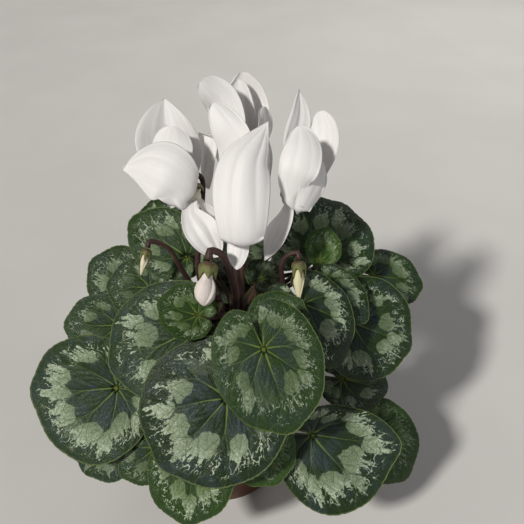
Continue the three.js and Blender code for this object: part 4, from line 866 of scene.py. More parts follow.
def add_petal(skin, heart, petal, look, seed):
    """One thin petal, cupped, with its relief, closed along its edge."""
    rows = np.sin(np.linspace(0, 1, PETAL_ROWS) * math.pi / 2) ** 1.15
    centre, side, normal = (part[:, None] for part in petal_frame(petal_path(heart, petal), rows, petal.face))
    along, across = np.meshgrid(rows, np.linspace(-1, 1, PETAL_COLUMNS), indexing="ij")
    width = petal_width(along, petal)
    bend = math.radians(petal.cup)
    angle = across * bend
    rise = width * (1 - np.cos(angle)) / bend + petal_relief(petal, look, along, across, width, seed)
    shift = width * np.sin(angle) / bend
    grid = centre + side * shift[..., None] + normal * rise[..., None]
    out = normal * np.cos(angle)[..., None] - side * np.sin(angle)[..., None]
    # each side's way is smoothed, so that it has no cusp on a tight bend
    eased = running_mean(grid, PETAL_EASE, mode="reflect", reflect_type="odd")
    grid += (eased - grid) * (petal.ease * across**2 * smoothstep(1, 0.85, along))[..., None]
    half = look.petal_thickness / MM / 2 * (1 - 0.6 * smoothstep(0.85, 1, np.abs(across)))[..., None]
    front, back = grid + out * half, grid - out * half

    count = along.size
    sheet = np.array(grid_faces(PETAL_ROWS, PETAL_COLUMNS))
    numbers = np.arange(count).reshape(along.shape)
    edge = [*numbers[0], *numbers[1:, -1], *numbers[-1, -2::-1], *numbers[-2:0:-1, 0]]
    faces = sheet.tolist() + (sheet[:, ::-1] + count).tolist()
    faces += [[b, a, a + count, b + count] for a, b in zip(edge, edge[1:] + edge[:1])]
    skin.add(
        from_facing(np.concatenate([front.reshape(-1, 3), back.reshape(-1, 3)])), faces,
        along=np.tile(along.ravel(), 2), across=np.tile(across.ravel(), 2), seed=seed, hollow=0.0,
    )


def tube_profile():
    """The flower's tube, from the middle of its roof down the inside and up the outside."""
    roof, wall = TUBE_LENGTH - TUBE_WALL, TUBE_RADIUS - TUBE_WALL
    inner = [(0.1, roof), (wall - 1.2, roof), (wall - 0.4, roof - 0.6), (wall, 0.4)]
    lip = [(wall + 0.25, 0.02), (TUBE_RADIUS - 0.2, 0)]
    outer = [(TUBE_RADIUS + 0.1, 0.7), (TUBE_RADIUS + 0.2, 2), (TUBE_RADIUS, 3.6)]
    crown = [(TUBE_RADIUS - 0.6, TUBE_LENGTH - 0.6), (TUBE_RADIUS - 1.8, TUBE_LENGTH), (0.1, TUBE_LENGTH)]
    return inner + lip + outer + crown


def make_bloom(name, bloom, look, material):
    """An open flower: its tube and its swept-back petals."""
    skin = Skin()
    top, mouth, *_ = bloom_head(bloom)
    points, faces = turned(tube_profile(), FLOWER_TUBE_SIDES)
    skin.add(from_facing(standing_at(points, mouth, top)), faces, along=0.0, hollow=1.0)
    for number, petal in enumerate(bloom["petals"]):
        add_petal(skin, bloom["heart"], petal, look, seed=number * 1.7 + len(name))
    return skin.build(f"{name}_petals", material, replaced=name, slot="petal")


def make_calyx(name, head, rings, material, points=1):
    """A dome with pointed sepals, drawn out by points, that clasp what hangs from it."""
    top, end, radius, dome = head
    angles = np.linspace(0, 2 * math.pi, CALYX_SIDES, endpoint=False)
    point = points * np.abs(angles * SEPALS / math.pi % 2 - 1) ** (1.2 * points)
    keel = radius * (1 + 0.03 * np.cos(SEPALS * angles) + 0.012 * np.cos(5 * SEPALS * angles))
    grid = [
        np.stack([share * keel * np.cos(angles), share * keel * np.sin(angles),
                  dome * (short + (long - short) * point)], -1)
        for share, long, short in rings
    ]
    places, faces = closed_rings(grid, [0, 0, 0], [0, 0, dome])
    reach = np.concatenate([np.repeat(np.linspace(0, 1, len(rings)), CALYX_SIDES), [0, 1]])
    places = from_facing(standing_at(places, top, end))
    skin = Skin().add(places, [face[::-1] for face in faces], along=reach)
    return skin.build(f"{name}_sepals", material, replaced=f"{name}_calyx", slot="calyx")


def make_bud(name, bud, look, material):
    """Closed petals, rolled round each other with a twist, hanging out of the calyx."""
    top, end, radius, dome = bud_head(bud)
    foot, length = dome + SEAT_GAP, np.linalg.norm(end - top)
    knots = [(foot, 0.3), (foot + 0.1, radius * 0.58), (1.75 * dome + 0.1, radius * 0.66)]
    knots += [(foot + (length - foot) * share, bud.swell * width) for share, width in bud.form]
    heights = np.linspace(foot, length, BUD_ROWS)
    radii = np.interp(heights, *zip(*sorted(knots)))
    soft = running_mean(radii, BUD_EASE, mode="edge")
    soft[:BUD_EASE], soft[-BUD_EASE:] = radii[:BUD_EASE], radii[-BUD_EASE:]
    points, faces = turned(np.stack([soft, heights], -1), BUD_SIDES)
    angle = np.arctan2(points[:, 1], points[:, 0])
    share = (points[:, 2] - foot) / (length - foot)
    turn = BUD_PETALS * angle / 2 - look.bud_twist * share
    # each petal's free edge laps over the next one's back
    lap = (turn / math.pi) % 1
    fold = smoothstep(0, 0.12, lap)
    points[:, :2] *= (1 - BUD_LAP * (1 - lap) * smoothstep(0.05, 0.35, share) * fold)[:, None]
    # fold is kept on the mesh so that the material paints shade along the crease of each lap
    skin = Skin().add(
        from_facing(standing_at(points, top, end)), faces,
        along=share, across=turn / math.pi, seed=float(name[-1]), hollow=0.0, fold=1 - fold, tint=bud.tint,
    )
    return skin.build(f"{name}_petals", material, replaced=name, slot="bud_petal")


# Peat, tuber and pot

def pot_inner_radius(height):
    """The radius of the pot's inside at a height."""
    share = height / (POT_HEIGHT - POT_RIM_DEPTH)
    return POT_BASE_RADIUS + (POT_TOP_RADIUS - POT_BASE_RADIUS) * share - POT_WALL


def soil_height(x, y):
    """The height of the peat's top at a place."""
    edge = pot_inner_radius(SOIL_HEIGHT) - SEAT_GAP
    steps = [0, edge * 0.3, edge * 0.58, edge * 0.8, edge]
    crown = np.interp(np.hypot(x, y), steps, [2.2, 2, 1.6, 1, 0])
    return SOIL_HEIGHT + crown + SOIL_RELIEF * np.sin(x * 0.45 + 1) * np.cos(y * 0.52 - x * 0.2)


def make_soil(look, material):
    """Crumbly peat that fills the pot, with loose crumbs on its top."""
    rng = np.random.default_rng(CRUMB_SEED)
    foot = POT_FLOOR + SEAT_GAP
    edge = pot_inner_radius(SOIL_HEIGHT) - SEAT_GAP
    profile = [(0.3, foot), (pot_inner_radius(foot) - SEAT_GAP, foot)]
    profile += [(radius, SOIL_HEIGHT) for radius in np.linspace(edge, 0.3, SOIL_RINGS)]
    points, faces = turned(profile, SOIL_SIDES)
    x, y, z = points.T
    top = z > SOIL_HEIGHT - 1
    rough = sum(
        size * np.sin(x * f + p) * np.sin(y * f * 1.1 + q)
        for size, f, p, q in ((0.3, 1.3, 0, 1), (0.22, 2.3, 2, 0), (0.16, 3.7, 1, 4), (0.1, 6.1, 3, 2))
    )
    inside = smoothstep(edge, edge - 2, np.hypot(x, y))
    points[:, 2] = np.where(top, soil_height(x, y) + rough * inside, z)
    skin = Skin().add(points, faces, pale=0.0)
    ball, ball_faces = crumb_shape()
    for _ in range(look.crumbs):
        radius, angle = edge * 0.97 * math.sqrt(rng.random()), rng.random() * 2 * math.pi
        x, y = radius * math.cos(angle), radius * math.sin(angle)
        size = look.crumb_size / MM * rng.uniform(0.35, 1)
        lump = ball * [size, size * rng.uniform(0.5, 1), size * rng.uniform(0.4, 0.8)]
        turn = np.linalg.qr(rng.normal(size=(3, 3)))[0]
        lump = lump * (1 + 0.22 * rng.normal(size=(len(ball), 1)))
        centre = np.array([x, y, soil_height(x, y) + 0.2])
        if np.linalg.norm((centre - TUBER_CENTRE) / TUBER_RADII) > 1.02:
            skin.add(lump @ turn + centre, ball_faces, pale=rng.random() ** 3)
    return skin.build("peat", material, replaced="soil", slot="peat")


def crumb_shape():
    """A small round lump of few faces."""
    profile = [(math.sin(a), math.cos(a)) for a in np.linspace(math.pi - 0.5, 0.5, 4)]
    return turned(profile, 7)


def make_tuber(material):
    """A flattened round tuber with a cracked, corky skin."""
    angles = np.linspace(-math.pi / 2 + 0.02, math.pi / 2 - 0.02, TUBER_RINGS)
    points, faces = turned([(math.cos(a), math.sin(a)) for a in angles], TUBER_SIDES)
    x, y, z = points.T
    cracks = 0.018 * np.sin(9 * x + 3 * np.sin(4 * y)) * np.sin(8 * y + 2 * np.sin(5 * z)) * np.cos(7 * z)
    points = points * (1 + cracks - 0.012)[:, None] * TUBER_RADII
    skin = Skin().add(points + TUBER_CENTRE, faces)
    return skin.build("tuber_skin", material, replaced="tuber", slot="tuber_skin")


def rounded(profile, radius):
    """A profile whose inner corners are rounded off, as a moulding's are."""
    profile = np.asarray(profile, float)
    made = [profile[0]]
    for before, corner, after in zip(profile, profile[1:], profile[2:]):
        near = min(radius, 0.45 * np.linalg.norm(before - corner), 0.45 * np.linalg.norm(after - corner))
        a = corner + unit(before - corner) * near
        b = corner + unit(after - corner) * near
        made += [(1 - t) ** 2 * a + 2 * (1 - t) * t * corner + t * t * b for t in np.linspace(0, 1, 6)]
    return [*made, profile[-1]]


def make_pot(material):
    """A plain tapered plastic pot with a banded rim and drain holes."""
    rim_foot, inner = POT_HEIGHT - POT_RIM_DEPTH, pot_inner_radius(POT_HEIGHT)
    outline = [
        (0.2, 0), (POT_BASE_RADIUS, 0), (POT_TOP_RADIUS, rim_foot), (POT_RIM_RADIUS, rim_foot + 1),
        (POT_RIM_RADIUS + 0.4, POT_HEIGHT - 1), (POT_RIM_RADIUS - 0.6, POT_HEIGHT),
        (inner + 0.6, POT_HEIGHT), (inner, POT_HEIGHT - 1),
        (pot_inner_radius(POT_FLOOR), POT_FLOOR), (0.2, POT_FLOOR),
    ]
    body = Skin().add(*turned(rounded(outline, POT_CORNER), POT_SIDES))
    drills = Skin()
    for hole in range(DRAIN_HOLES):
        angle = (hole + 0.5) / DRAIN_HOLES * 2 * math.pi
        place = DRAIN_RING_RADIUS * np.array([math.cos(angle), math.sin(angle), 0])
        points, faces = turned([(DRAIN_RADIUS, -POT_FLOOR), (DRAIN_RADIUS, 2 * POT_FLOOR)], DRAIN_SIDES)
        drills.add(points + place, faces)
    pot = body.build("pot_body", material, replaced="pot", slot="pot_plastic")
    drill = drills.build("drain_drill", material)
    cut = pot.modifiers.new("Drain holes", "BOOLEAN")
    cut.operation, cut.object, cut.solver = "DIFFERENCE", drill, "EXACT"
    bpy.context.view_layer.update()
    depsgraph = bpy.context.evaluated_depsgraph_get()
    whole = bpy.data.meshes.new_from_object(pot.evaluated_get(depsgraph))
    pot.modifiers.clear()
    pot.data = whole
    bpy.data.objects.remove(drill)
    pot.data.set_sharp_from_angle(angle=POT_SHARP_ANGLE)
    return pot


# Material pieces

class Value:
    """An output in a tree of nodes. Sums, products and powers of values add nodes to the tree."""

    def __init__(self, nodes, socket):
        self.nodes = nodes
        self.socket = socket

    def __add__(self, other):
        return self.nodes.math("ADD", self, other)

    def __sub__(self, other):
        return self.nodes.math("SUBTRACT", self, other)

    def __rsub__(self, other):
        return self.nodes.math("SUBTRACT", other, self)

    def __mul__(self, other):
        return self.nodes.math("MULTIPLY", self, other)

    def __truediv__(self, other):
        return self.nodes.math("DIVIDE", self, other)

    def __pow__(self, other):
        return self.nodes.math("POWER", self, other)

    def __abs__(self):
        return self.nodes.math("ABSOLUTE", self)

    __radd__ = __add__
    __rmul__ = __mul__


class Nodes:
    """Short ways to add nodes to one tree and link them."""

    def __init__(self, tree):
        self.tree = tree

    def add(self, kind, **settings):
        """A node with its settings."""
        node = self.tree.nodes.new(kind)
        for name, value in settings.items():
            setattr(node, name, value)
        return node

    def feed(self, socket, value):
        """Links a value into an input, or sets the input to a number, colour or vector."""
        if isinstance(value, Value):
            self.tree.links.new(value.socket, socket)
        elif socket.type == "RGBA":
            socket.default_value = (*value, 1)
        else:
            socket.default_value = value

    def made(self, kind, output, inputs, **settings):
        """The output of a new node, whose inputs are filled by name or number."""
        node = self.add(kind, **settings)
        for key, value in inputs.items():
            self.feed(node.inputs[key], value)
        return Value(self, node.outputs[output])

    def math(self, operation, *values, clamp=False):
        """A calculation on one or two values."""
        inputs = dict(enumerate(values))
        return self.made("ShaderNodeMath", 0, inputs, operation=operation, use_clamp=clamp)

    def step(self, value, low, high, start=0.0, end=1.0):
        """A soft step from start to end, while a value runs from low to high."""
        inputs = {"Value": value, "From Min": low, "From Max": high, "To Min": start, "To Max": end}
        return self.made("ShaderNodeMapRange", "Result", inputs, interpolation_type="SMOOTHSTEP")

    def mix(self, share, a, b, blend="MIX"):
        """A colour between two colours, at a share of the way."""
        inputs = {"Factor": share, 6: a, 7: b}
        return self.made("ShaderNodeMix", 2, inputs, data_type="RGBA", blend_type=blend)

    def value(self, name):
        """A named value of the mesh."""
        return self.made("ShaderNodeAttribute", "Fac", {}, attribute_name=name)

    def place(self):
        """The place on the part, in millimetres."""
        here = self.made("ShaderNodeTexCoord", "Object", {})
        return self.made("ShaderNodeVectorMath", 0, {0: here, "Scale": 1 / MM}, operation="SCALE")

    def noise(self, place, scale, detail=3.0, roughness=0.5, output="Fac"):
        """Soft noise, around a half."""
        inputs = {"Vector": place, "Scale": scale, "Detail": detail, "Roughness": roughness}
        return self.made("ShaderNodeTexNoise", output, inputs)

    def cells(self, place, scale, feature="F1"):
        """The distance to the nearest cell point or cell edge."""
        inputs = {"Vector": place, "Scale": scale}
        return self.made("ShaderNodeTexVoronoi", "Distance", inputs, feature=feature)

    def vector(self, x, y=0.0, z=0.0):
        """A vector of three values."""
        return self.made("ShaderNodeCombineXYZ", 0, {"X": x, "Y": y, "Z": z})

    def parts(self, colour):
        """The three values of a colour."""
        node = self.add("ShaderNodeSeparateColor")
        self.feed(node.inputs["Color"], colour)
        return [Value(self, socket) for socket in node.outputs]

    def bump(self, height, distance, strength):
        """A normal from a height that is worth a distance in metres."""
        inputs = {"Height": height, "Distance": distance, "Strength": strength}
        return self.made("ShaderNodeBump", "Normal", inputs)

    def group(self, name, **values):
        """The outputs of a node group by name, its inputs filled by name."""
        node = self.add("ShaderNodeGroup", node_tree=group_tree(name))
        for title, value in values.items():
            self.feed(node.inputs[title.replace("_", " ").capitalize()], value)
        return {socket.name: Value(self, socket) for socket in node.outputs}

    def clouds(self, cloud, grain):
        """Clouds and a finer grain over the part, each from a scale, a detail and a roughness."""
        settings = dict(zip(("cloud_scale", "cloud_detail", "cloud_roughness"), cloud))
        settings.update(zip(("grain_scale", "grain_detail", "grain_roughness"), grain))
        made = self.group("Clouds and grain", **settings)
        return made["Cloud"], made["Grain"]


def fill_clouds(nodes, *settings):
    """Broad and fine noise over the part, each with three of the settings."""
    place = nodes.place()
    return nodes.noise(place, *settings[:3]), nodes.noise(place, *settings[3:])


def fill_veins(nodes, fan, share, seed, reach):
    """Where a cyclamen blade's veins run: main ones that fork, side ones and fine ones."""
    wobble = nodes.noise(nodes.vector(fan * 1.3, share * 5, seed), 1.4)
    swayed = fan + (wobble - 0.5) * share * 0.16
    number = nodes.math("ROUND", swayed)
    beside = abs(swayed - number)
    start = nodes.math("SINE", number * 1.7 + seed) * FORK_SCATTER + FORK_START
    branch = nodes.step(share, start, start + FORK_RUN) * VEIN_FORK
    main_gap = abs(beside - branch) * share * reach * VEIN_ANGLE
    strength = nodes.math("SINE", number * 2.6 + seed * 1.9)
    width = nodes.step(share, 0, 0.8, 0.4, 0.13) * (strength * 0.22 + 0.9)
    main = nodes.step(main_gap / width, 0.45, 1.15, 1, 0)
    # the side veins left and right of a main vein leave it by turns
    shifted = nodes.step(nodes.math("FRACT", swayed), 0.49, 0.51) * 0.5
    climb = share * SIDE_VEINS - beside * SIDE_VEIN_SLANT + shifted
    side_gap = nodes.math("PINGPONG", climb + 20, 0.5) * reach * 0.16
    side = nodes.step(side_gap, 0.1, 0.3, 1, 0)
    net = nodes.cells(nodes.vector(fan * 2.4, share * 6, seed), 3.2, "DISTANCE_TO_EDGE")
    return main, side, nodes.step(net, 0, 0.1, 1, 0)


def fill_blots(nodes, fan, share, seed, centre, width, presence, streak, warp):
    """Blots that lie one in each sector of a blade, round towards the stalk and torn outwards."""
    sector = nodes.vector(nodes.math("FLOOR", fan), seed)
    draws = nodes.made("ShaderNodeTexWhiteNoise", "Color", {"Vector": sector}, noise_dimensions="2D")
    place, size, shown = nodes.parts(draws)
    warp_across, warp_along, _ = nodes.parts(warp)
    across = nodes.math("FRACT", fan) - 0.5 + (warp_across - 0.5) * 0.4 + (size - 0.5) * 0.12
    along = share + (warp_along - 0.5) * 0.16 - (centre + (place - 0.5) * 0.12)
    inner = size * 0.08 + 0.1
    outer = streak * streak * streak * 1.15 + 0.01
    extent = inner + nodes.step(along, -0.004, 0.004) * (outer - inner)
    half = width * (size * 0.3 + 0.84)
    spread = (abs(across) / half) ** 2.4
    depth = (abs(along) / extent) ** 2.2
    body = nodes.step(spread + depth, 0.86, 1.12, 1, 0)
    return [body * nodes.step(shown, presence, presence + 0.25, 1, 0)]


def fill_marbling(nodes, fan, share, seed, band, x, y):
    """A cyclamen blade's silver: blots between its veins and in their forks, with pale streaks."""
    place = nodes.vector(x, y, seed * 7.3)
    warp = nodes.noise(place, 0.2, 2.0, output="Color")
    streak = nodes.noise(nodes.vector(fan * 8, share * 2.6, seed), 1.2, 3.0, 0.6)
    fleck = nodes.noise(place, 0.85, 3.0, 0.65)
    shared = {"share": share, "streak": streak * 0.72 + fleck * 0.28, "warp": warp}
    between = nodes.group(
        "Blade blots", fan=fan, seed=seed, centre=band + 0.57, width=0.36, presence=0.8, **shared,
    )
    forked = nodes.group(
        "Blade blots", fan=fan + 0.5, seed=seed + 50, centre=band + 0.68, width=0.19, presence=0.42, **shared,
    )
    blot = nodes.math("MAXIMUM", between["Blot"], forked["Blot"])
    # white streaks that fork outwards from the blots, in patches, and dots among them
    ridge = abs(nodes.noise(nodes.vector(fan * 5, share * 6, seed), 1.1, 2.0, 0.55) - 0.5)
    where = nodes.step(share, 0.55, 0.66) * nodes.step(share, 0.84, 0.93, 1, 0)
    patch = nodes.step(nodes.noise(place, 0.22, 1.0), 0.42, 0.52)
    streaks = nodes.step(ridge, 0.008, 0.03, 1, 0) * where * patch
    dots = nodes.step(fleck, 0.64, 0.68) * where
    # the blots are stippled, and brighter further out
    stipple = nodes.step(nodes.noise(place, 1.6, 3.0, 0.75), 0.38, 0.5)
    body = blot * (0.46 + stipple * 0.3 + nodes.step(share, 0.45, 0.72) * 0.24)
    silver = nodes.math("MAXIMUM", body, nodes.math("MAXIMUM", streaks, dots))
    pale = nodes.step(share, 0.52, 0.8) * nodes.step(fleck, 0.42, 0.6)
    return silver, nodes.math("MAXIMUM", pale, streaks)


BLADE_INPUTS = {"Fan": 0.0, "Share": 0.0, "Seed": 0.0}

# Each node group: what fills it, its inputs with their defaults, and its outputs
GROUPS = {
    "Clouds and grain": (
        fill_clouds,
        {
            "Cloud scale": 0.2, "Cloud detail": 3.0, "Cloud roughness": 0.5,
            "Grain scale": 2.5, "Grain detail": 3.0, "Grain roughness": 0.5,
        },
        ["Cloud", "Grain"],
    ),
    "Blade veins": (fill_veins, {**BLADE_INPUTS, "Reach": 30.0}, ["Main", "Side", "Fine"]),
    "Blade blots": (
        fill_blots,
        {
            **BLADE_INPUTS, "Centre": 0.6, "Width": 0.4, "Presence": 0.8, "Streak": 0.5,
            "Warp": (0.5, 0.5, 0.5, 1.0),
        },
        ["Blot"],
    ),
    "Silver marbling": (
        fill_marbling, {**BLADE_INPUTS, "Band": 0.0, "X": 0.0, "Y": 0.0}, ["Silver", "Pale"],
    ),
}


def group_tree(name):
    """The node group of this name, built the first time that a material uses it."""
    if name in bpy.data.node_groups:
        return bpy.data.node_groups[name]
    fill, inputs, outputs = GROUPS[name]
    tree = bpy.data.node_groups.new(name, "ShaderNodeTree")
    for title, default in inputs.items():
        kind = "NodeSocketColor" if isinstance(default, tuple) else "NodeSocketFloat"
        socket = tree.interface.new_socket(title, in_out="INPUT", socket_type=kind)
        socket.default_value = default
    for title in outputs:
        tree.interface.new_socket(title, in_out="OUTPUT", socket_type="NodeSocketFloat")
    nodes = Nodes(tree)
    source = nodes.add("NodeGroupInput").outputs
    target = nodes.add("NodeGroupOutput").inputs
    made = fill(nodes, *(Value(nodes, source[title]) for title in inputs))
    for title, value in zip(outputs, made):
        nodes.feed(target[title], value)
    return tree


def new_material(name, **constants):
    """A material with one Principled BSDF, the nodes to fill its tree with, and its inputs."""
    material = bpy.data.materials.new(name)
    material.use_nodes = True
    nodes = Nodes(material.node_tree)
    shader = next(node for node in nodes.tree.nodes if node.type == "BSDF_PRINCIPLED")
    for socket, value in constants.items():
        nodes.feed(shader.inputs[socket.replace("_", " ")], value)
    return material, nodes, shader.inputs


def leaf_material(look):
    """Dark green, silver-marbled blades with a painted bluish sheen, pinkish brown underneath."""
    material, nodes, shader = new_material(
        "Cyclamen leaf", Specular_IOR_Level=0.28, Subsurface_Weight=0.04, Subsurface_Scale=0.001,
        Subsurface_Radius=(0.6, 1.0, 0.3),
    )
    fan, share, seed = nodes.value("fan"), nodes.value("share"), nodes.value("seed")
    x, y, young = nodes.value("flat_x"), nodes.value("flat_y"), nodes.value("tone")
    distance = nodes.math("SQRT", x * x + y * y)
    reach = distance / nodes.math("MAXIMUM", share, 0.02)
    blade = {"fan": fan, "share": share, "seed": seed}
    vein = nodes.group("Blade veins", **blade, reach=reach)
    marble = nodes.group("Silver marbling", **blade, band=nodes.value("band"), x=x, y=y)
    place = nodes.vector(x, y, seed * 3.1)
    cloud = nodes.noise(place, 0.12, 2.0)
    grain = nodes.noise(place, 2.2, 3.0, 0.6)

    base = nodes.mix(young, look.deep_green, look.young_green)
    # painted bluish sheen: mottled on the heart round the stalk, and in patches further out
    heart = nodes.step(share, 0.62, 0.3) * nodes.step(cloud, 0.36, 0.6)
    blue_sheen = heart * 0.8 + nodes.step(cloud, 0.46, 0.62, 0, 0.8)
    blue_sheen = blue_sheen * nodes.math("SUBTRACT", 1, young, clamp=True)
    base = nodes.mix(nodes.math("MINIMUM", blue_sheen, 1), base, look.sheen_blue_green)
    base = nodes.mix(nodes.step(grain, 0.56, 0.72, 0, 0.3), base, look.young_silver)
    base = nodes.mix(vein["Fine"] * 0.14, base, look.dark_green)
    # the silver, which the veins cut through
    silver = nodes.mix(young, look.silver, look.young_silver)
    silver = nodes.mix(marble["Pale"] * 0.75, silver, look.fleck)
    veined = vein["Side"] * 0.32 + vein["Fine"] * 0.34 + vein["Main"] * 0.7
    cut = nodes.math("SUBTRACT", 1, veined, clamp=True)
    amount = marble["Silver"] * nodes.value("silver") * cut * look.silver_strength
    upper = nodes.mix(nodes.math("MINIMUM", amount, 1), base, silver)
    # the veins, brightest near the stalk, and the margin
    upper = nodes.mix(vein["Main"] * nodes.step(share, 0.02, 0.5, 0.9, 0.26), upper, look.vein)
    upper = nodes.mix(vein["Side"] * 0.1, upper, look.vein)
    upper = nodes.mix(nodes.step(share, 0.978, 0.994) * 0.7, upper, look.margin)
    upper = nodes.mix(0.14, upper, grain, "OVERLAY")

    lower = nodes.mix(nodes.step(cloud, 0.35, 0.65), look.underside, look.underside_green)
    red = nodes.math("MAXIMUM", vein["Main"], vein["Side"] * 0.6)
    lower = nodes.mix(red * 0.6, lower, look.vein_red)
    under = nodes.step(nodes.value("under"), 0.3, 0.7)
    nodes.feed(shader["Base Color"], nodes.mix(under, upper, lower))
    nodes.feed(shader["Roughness"], 0.3 + marble["Silver"] * 0.16 + grain * 0.12)
    height = nodes.cells(place, 2.4) * 0.7 - vein["Fine"] * 0.3 - vein["Side"] * 0.8 + grain * 0.5
    nodes.feed(shader["Normal"], nodes.bump(height, 0.0002, 0.8))
    return material


def petal_material(name, look, tint, deep):
    """White or cream petals with faint streaks along them, painted shade towards their foot and, on buds,
    painted shade along the creases where their petals lap.
    """
    material, nodes, shader = new_material(
        name, Specular_IOR_Level=0.35, Roughness=0.52, Subsurface_Weight=look.petal_glow,
        Subsurface_Scale=0.0007, Subsurface_Radius=(1.0, 0.85, 0.95),
    )
    along, across, seed = nodes.value("along"), nodes.value("across"), nodes.value("seed")
    streaks = nodes.vector(across * 9, along * 1.6, seed)
    fine = nodes.noise(streaks, 2.6, 4.0, 0.6)
    broad = nodes.noise(streaks, 0.5, 2.0)
    # painted shade: darker towards the foot of a petal or bud, mixed in with the streaks
    painted_foot_shade = nodes.step(along, 0, 0.5, 1, 0)
    shade = nodes.step(fine, 0.5, 0.7) * 0.3 + nodes.step(broad, 0.45, 0.65) * 0.28 + painted_foot_shade * 0.3
    colour = nodes.mix(shade * look.streaks, tint, deep)
    colour = nodes.mix(nodes.value("hollow") * 0.5, colour, look.petal_throat)
    # a bud's tint runs from cream at 0 over pink at a half to brown at 1
    browning = nodes.value("tint") * 2
    colour = nodes.mix(nodes.math("MINIMUM", browning, 1), colour, look.bud_pink)
    colour = nodes.mix(nodes.math("SUBTRACT", browning, 1, clamp=True), colour, look.calyx_brown)
    # painted shade along the creases where a bud's petals lap, in the calyx brown
    colour = nodes.mix(nodes.value("fold") * 0.35, colour, look.calyx_brown)
    nodes.feed(shader["Base Color"], colour)
    skin = nodes.noise(nodes.vector(across * 30, along * 10, seed), 2.0)
    nodes.feed(shader["Normal"], nodes.bump(fine + skin * 0.3, 0.0001, 0.35))
    return material


def stalk_material(look):
    """Dark reddish stalks, greener where they are young."""
    material, nodes, shader = new_material(
        "Cyclamen stalk", Specular_IOR_Level=0.4, Subsurface_Weight=0.08, Subsurface_Scale=0.0012,
        Subsurface_Radius=(1.0, 0.4, 0.2),
    )
    blotch, grain = nodes.clouds((0.22, 3.0, 0.5), (2.6, 4.0, 0.65))
    green = (1 - nodes.value("warm")) * 0.55 + (blotch - 0.5) * 1.4
    colour = nodes.mix(nodes.step(green, 0.05, 0.5), look.stalk_red, look.stalk_green)
    colour = nodes.mix(nodes.step(grain, 0.5, 0.72, 0, 0.4), colour, look.stalk_pale)
    nodes.feed(shader["Base Color"], colour)
    nodes.feed(shader["Roughness"], nodes.step(grain, 0.3, 0.7, 0.4, 0.58))
    nodes.feed(shader["Normal"], nodes.bump(grain, 0.0002, 0.6))
    return material


def calyx_material(look):
    """Green sepals, flushed brown at their foot and towards their points."""
    material, nodes, shader = new_material(
        "Cyclamen calyx", Specular_IOR_Level=0.4, Roughness=0.48, Subsurface_Weight=0.08,
        Subsurface_Scale=0.001, Subsurface_Radius=(0.8, 1.0, 0.3),
    )
    blotch, grain = nodes.clouds((0.6, 3.0, 0.5), (3.2, 3.0, 0.6))
    along = nodes.value("along")
    flush = nodes.step(along, 0.1, 0.5, 0.6, 0) + nodes.step(along, 0.55, 0.75, 0, 0.3) + blotch
    colour = nodes.mix(nodes.step(flush, 0.45, 0.95), look.calyx_green, look.calyx_brown)
    colour = nodes.mix(nodes.step(grain, 0.5, 0.68, 0, 0.5), colour, look.calyx_bright)
    nodes.feed(shader["Base Color"], colour)
    nodes.feed(shader["Normal"], nodes.bump(grain, 0.00022, 0.7))
    return material


def peat_material(look):
    """Dark, dull peat with paler fibres and a few pale grains."""
    material, nodes, shader = new_material("Peat", Specular_IOR_Level=0.2, Roughness=0.95)
    coarse, fine = nodes.clouds((0.5, 5.0, 0.65), (2.8, 5.0, 0.7))
    colour = nodes.mix(nodes.step(coarse, 0.35, 0.7), look.peat_dark, look.peat_brown)
    colour = nodes.mix(nodes.step(fine, 0.5, 0.75, 0, 0.6), colour, look.peat_fibre)
    colour = nodes.mix(nodes.step(nodes.value("pale"), 0.55, 0.95, 0, 0.8), colour, look.peat_pale)
    nodes.feed(shader["Base Color"], colour)
    nodes.feed(shader["Normal"], nodes.bump(coarse + fine * 0.6, 0.0007, 0.9))
    return material


def tuber_material(look):
    """Corky brown skin with darker cracks."""
    material, nodes, shader = new_material("Tuber skin", Specular_IOR_Level=0.25, Roughness=0.85)
    place = nodes.place()
    coarse = nodes.noise(place, 0.35, 4.0, 0.6)
    cracks = nodes.step(nodes.cells(place, 0.4, "DISTANCE_TO_EDGE"), 0, 0.12, 1, 0)
    colour = nodes.mix(nodes.step(coarse, 0.35, 0.65), look.tuber_dark, look.tuber_brown)
    nodes.feed(shader["Base Color"], nodes.mix(cracks * 0.7, colour, look.peat_dark))
    nodes.feed(shader["Normal"], nodes.bump(coarse - cracks, 0.0006, 0.9))
    return material


def pot_material(look):
    """Brown moulded plastic with a satin face and a little dust."""
    material, nodes, shader = new_material("Pot plastic", Specular_IOR_Level=0.45)
    cloud, grain = nodes.clouds((0.05, 4.0, 0.6), (4.5, 2.0, 0.5))
    dust = nodes.noise(nodes.place(), 0.4, 5.0, 0.7)
    colour = nodes.mix(nodes.step(cloud, 0.35, 0.65), look.pot_brown, look.pot_dark)
    colour = nodes.mix(nodes.step(dust, 0.55, 0.8, 0, 0.3), colour, look.pot_dust)
    nodes.feed(shader["Base Color"], colour)
    rough = nodes.step(cloud, 0.3, 0.7, 0.42, 0.52) + nodes.step(dust, 0.5, 0.8, 0, 0.2)
    nodes.feed(shader["Roughness"], rough)
    nodes.feed(shader["Normal"], nodes.bump(grain, 0.00006, 0.6))
    return material


def floor_material(look):
    """A plain pale floor, faintly uneven."""
    material, nodes, shader = new_material("Pale floor", Specular_IOR_Level=0.2)
    cloud, grain = nodes.clouds((0.012, 2.0, 0.5), (1.5, 2.0, 0.5))
    nodes.feed(shader["Base Color"], nodes.mix(nodes.step(cloud, 0.3, 0.7), look.floor, look.floor_shade))
    nodes.feed(shader["Roughness"], nodes.step(grain, 0.3, 0.7, 0.7, 0.8))
    return material


# Settings

def length_property(name, default, description):
    """A length in metres."""
    return bpy.props.FloatProperty(
        name=name, description=description, default=default, min=0, unit="LENGTH", precision=5,
    )


def share_property(name, default, description, top=1.0):
    """A share, from nothing to the whole."""
    return bpy.props.FloatProperty(name=name, description=description, default=default, min=0, max=top)


def colour_property(name, default, description):
    """A colour, given as eight-bit sRGB."""
    return bpy.props.FloatVectorProperty(
        name=name, description=description, default=linear(*default), size=3, min=0, max=1, subtype="COLOR",
    )


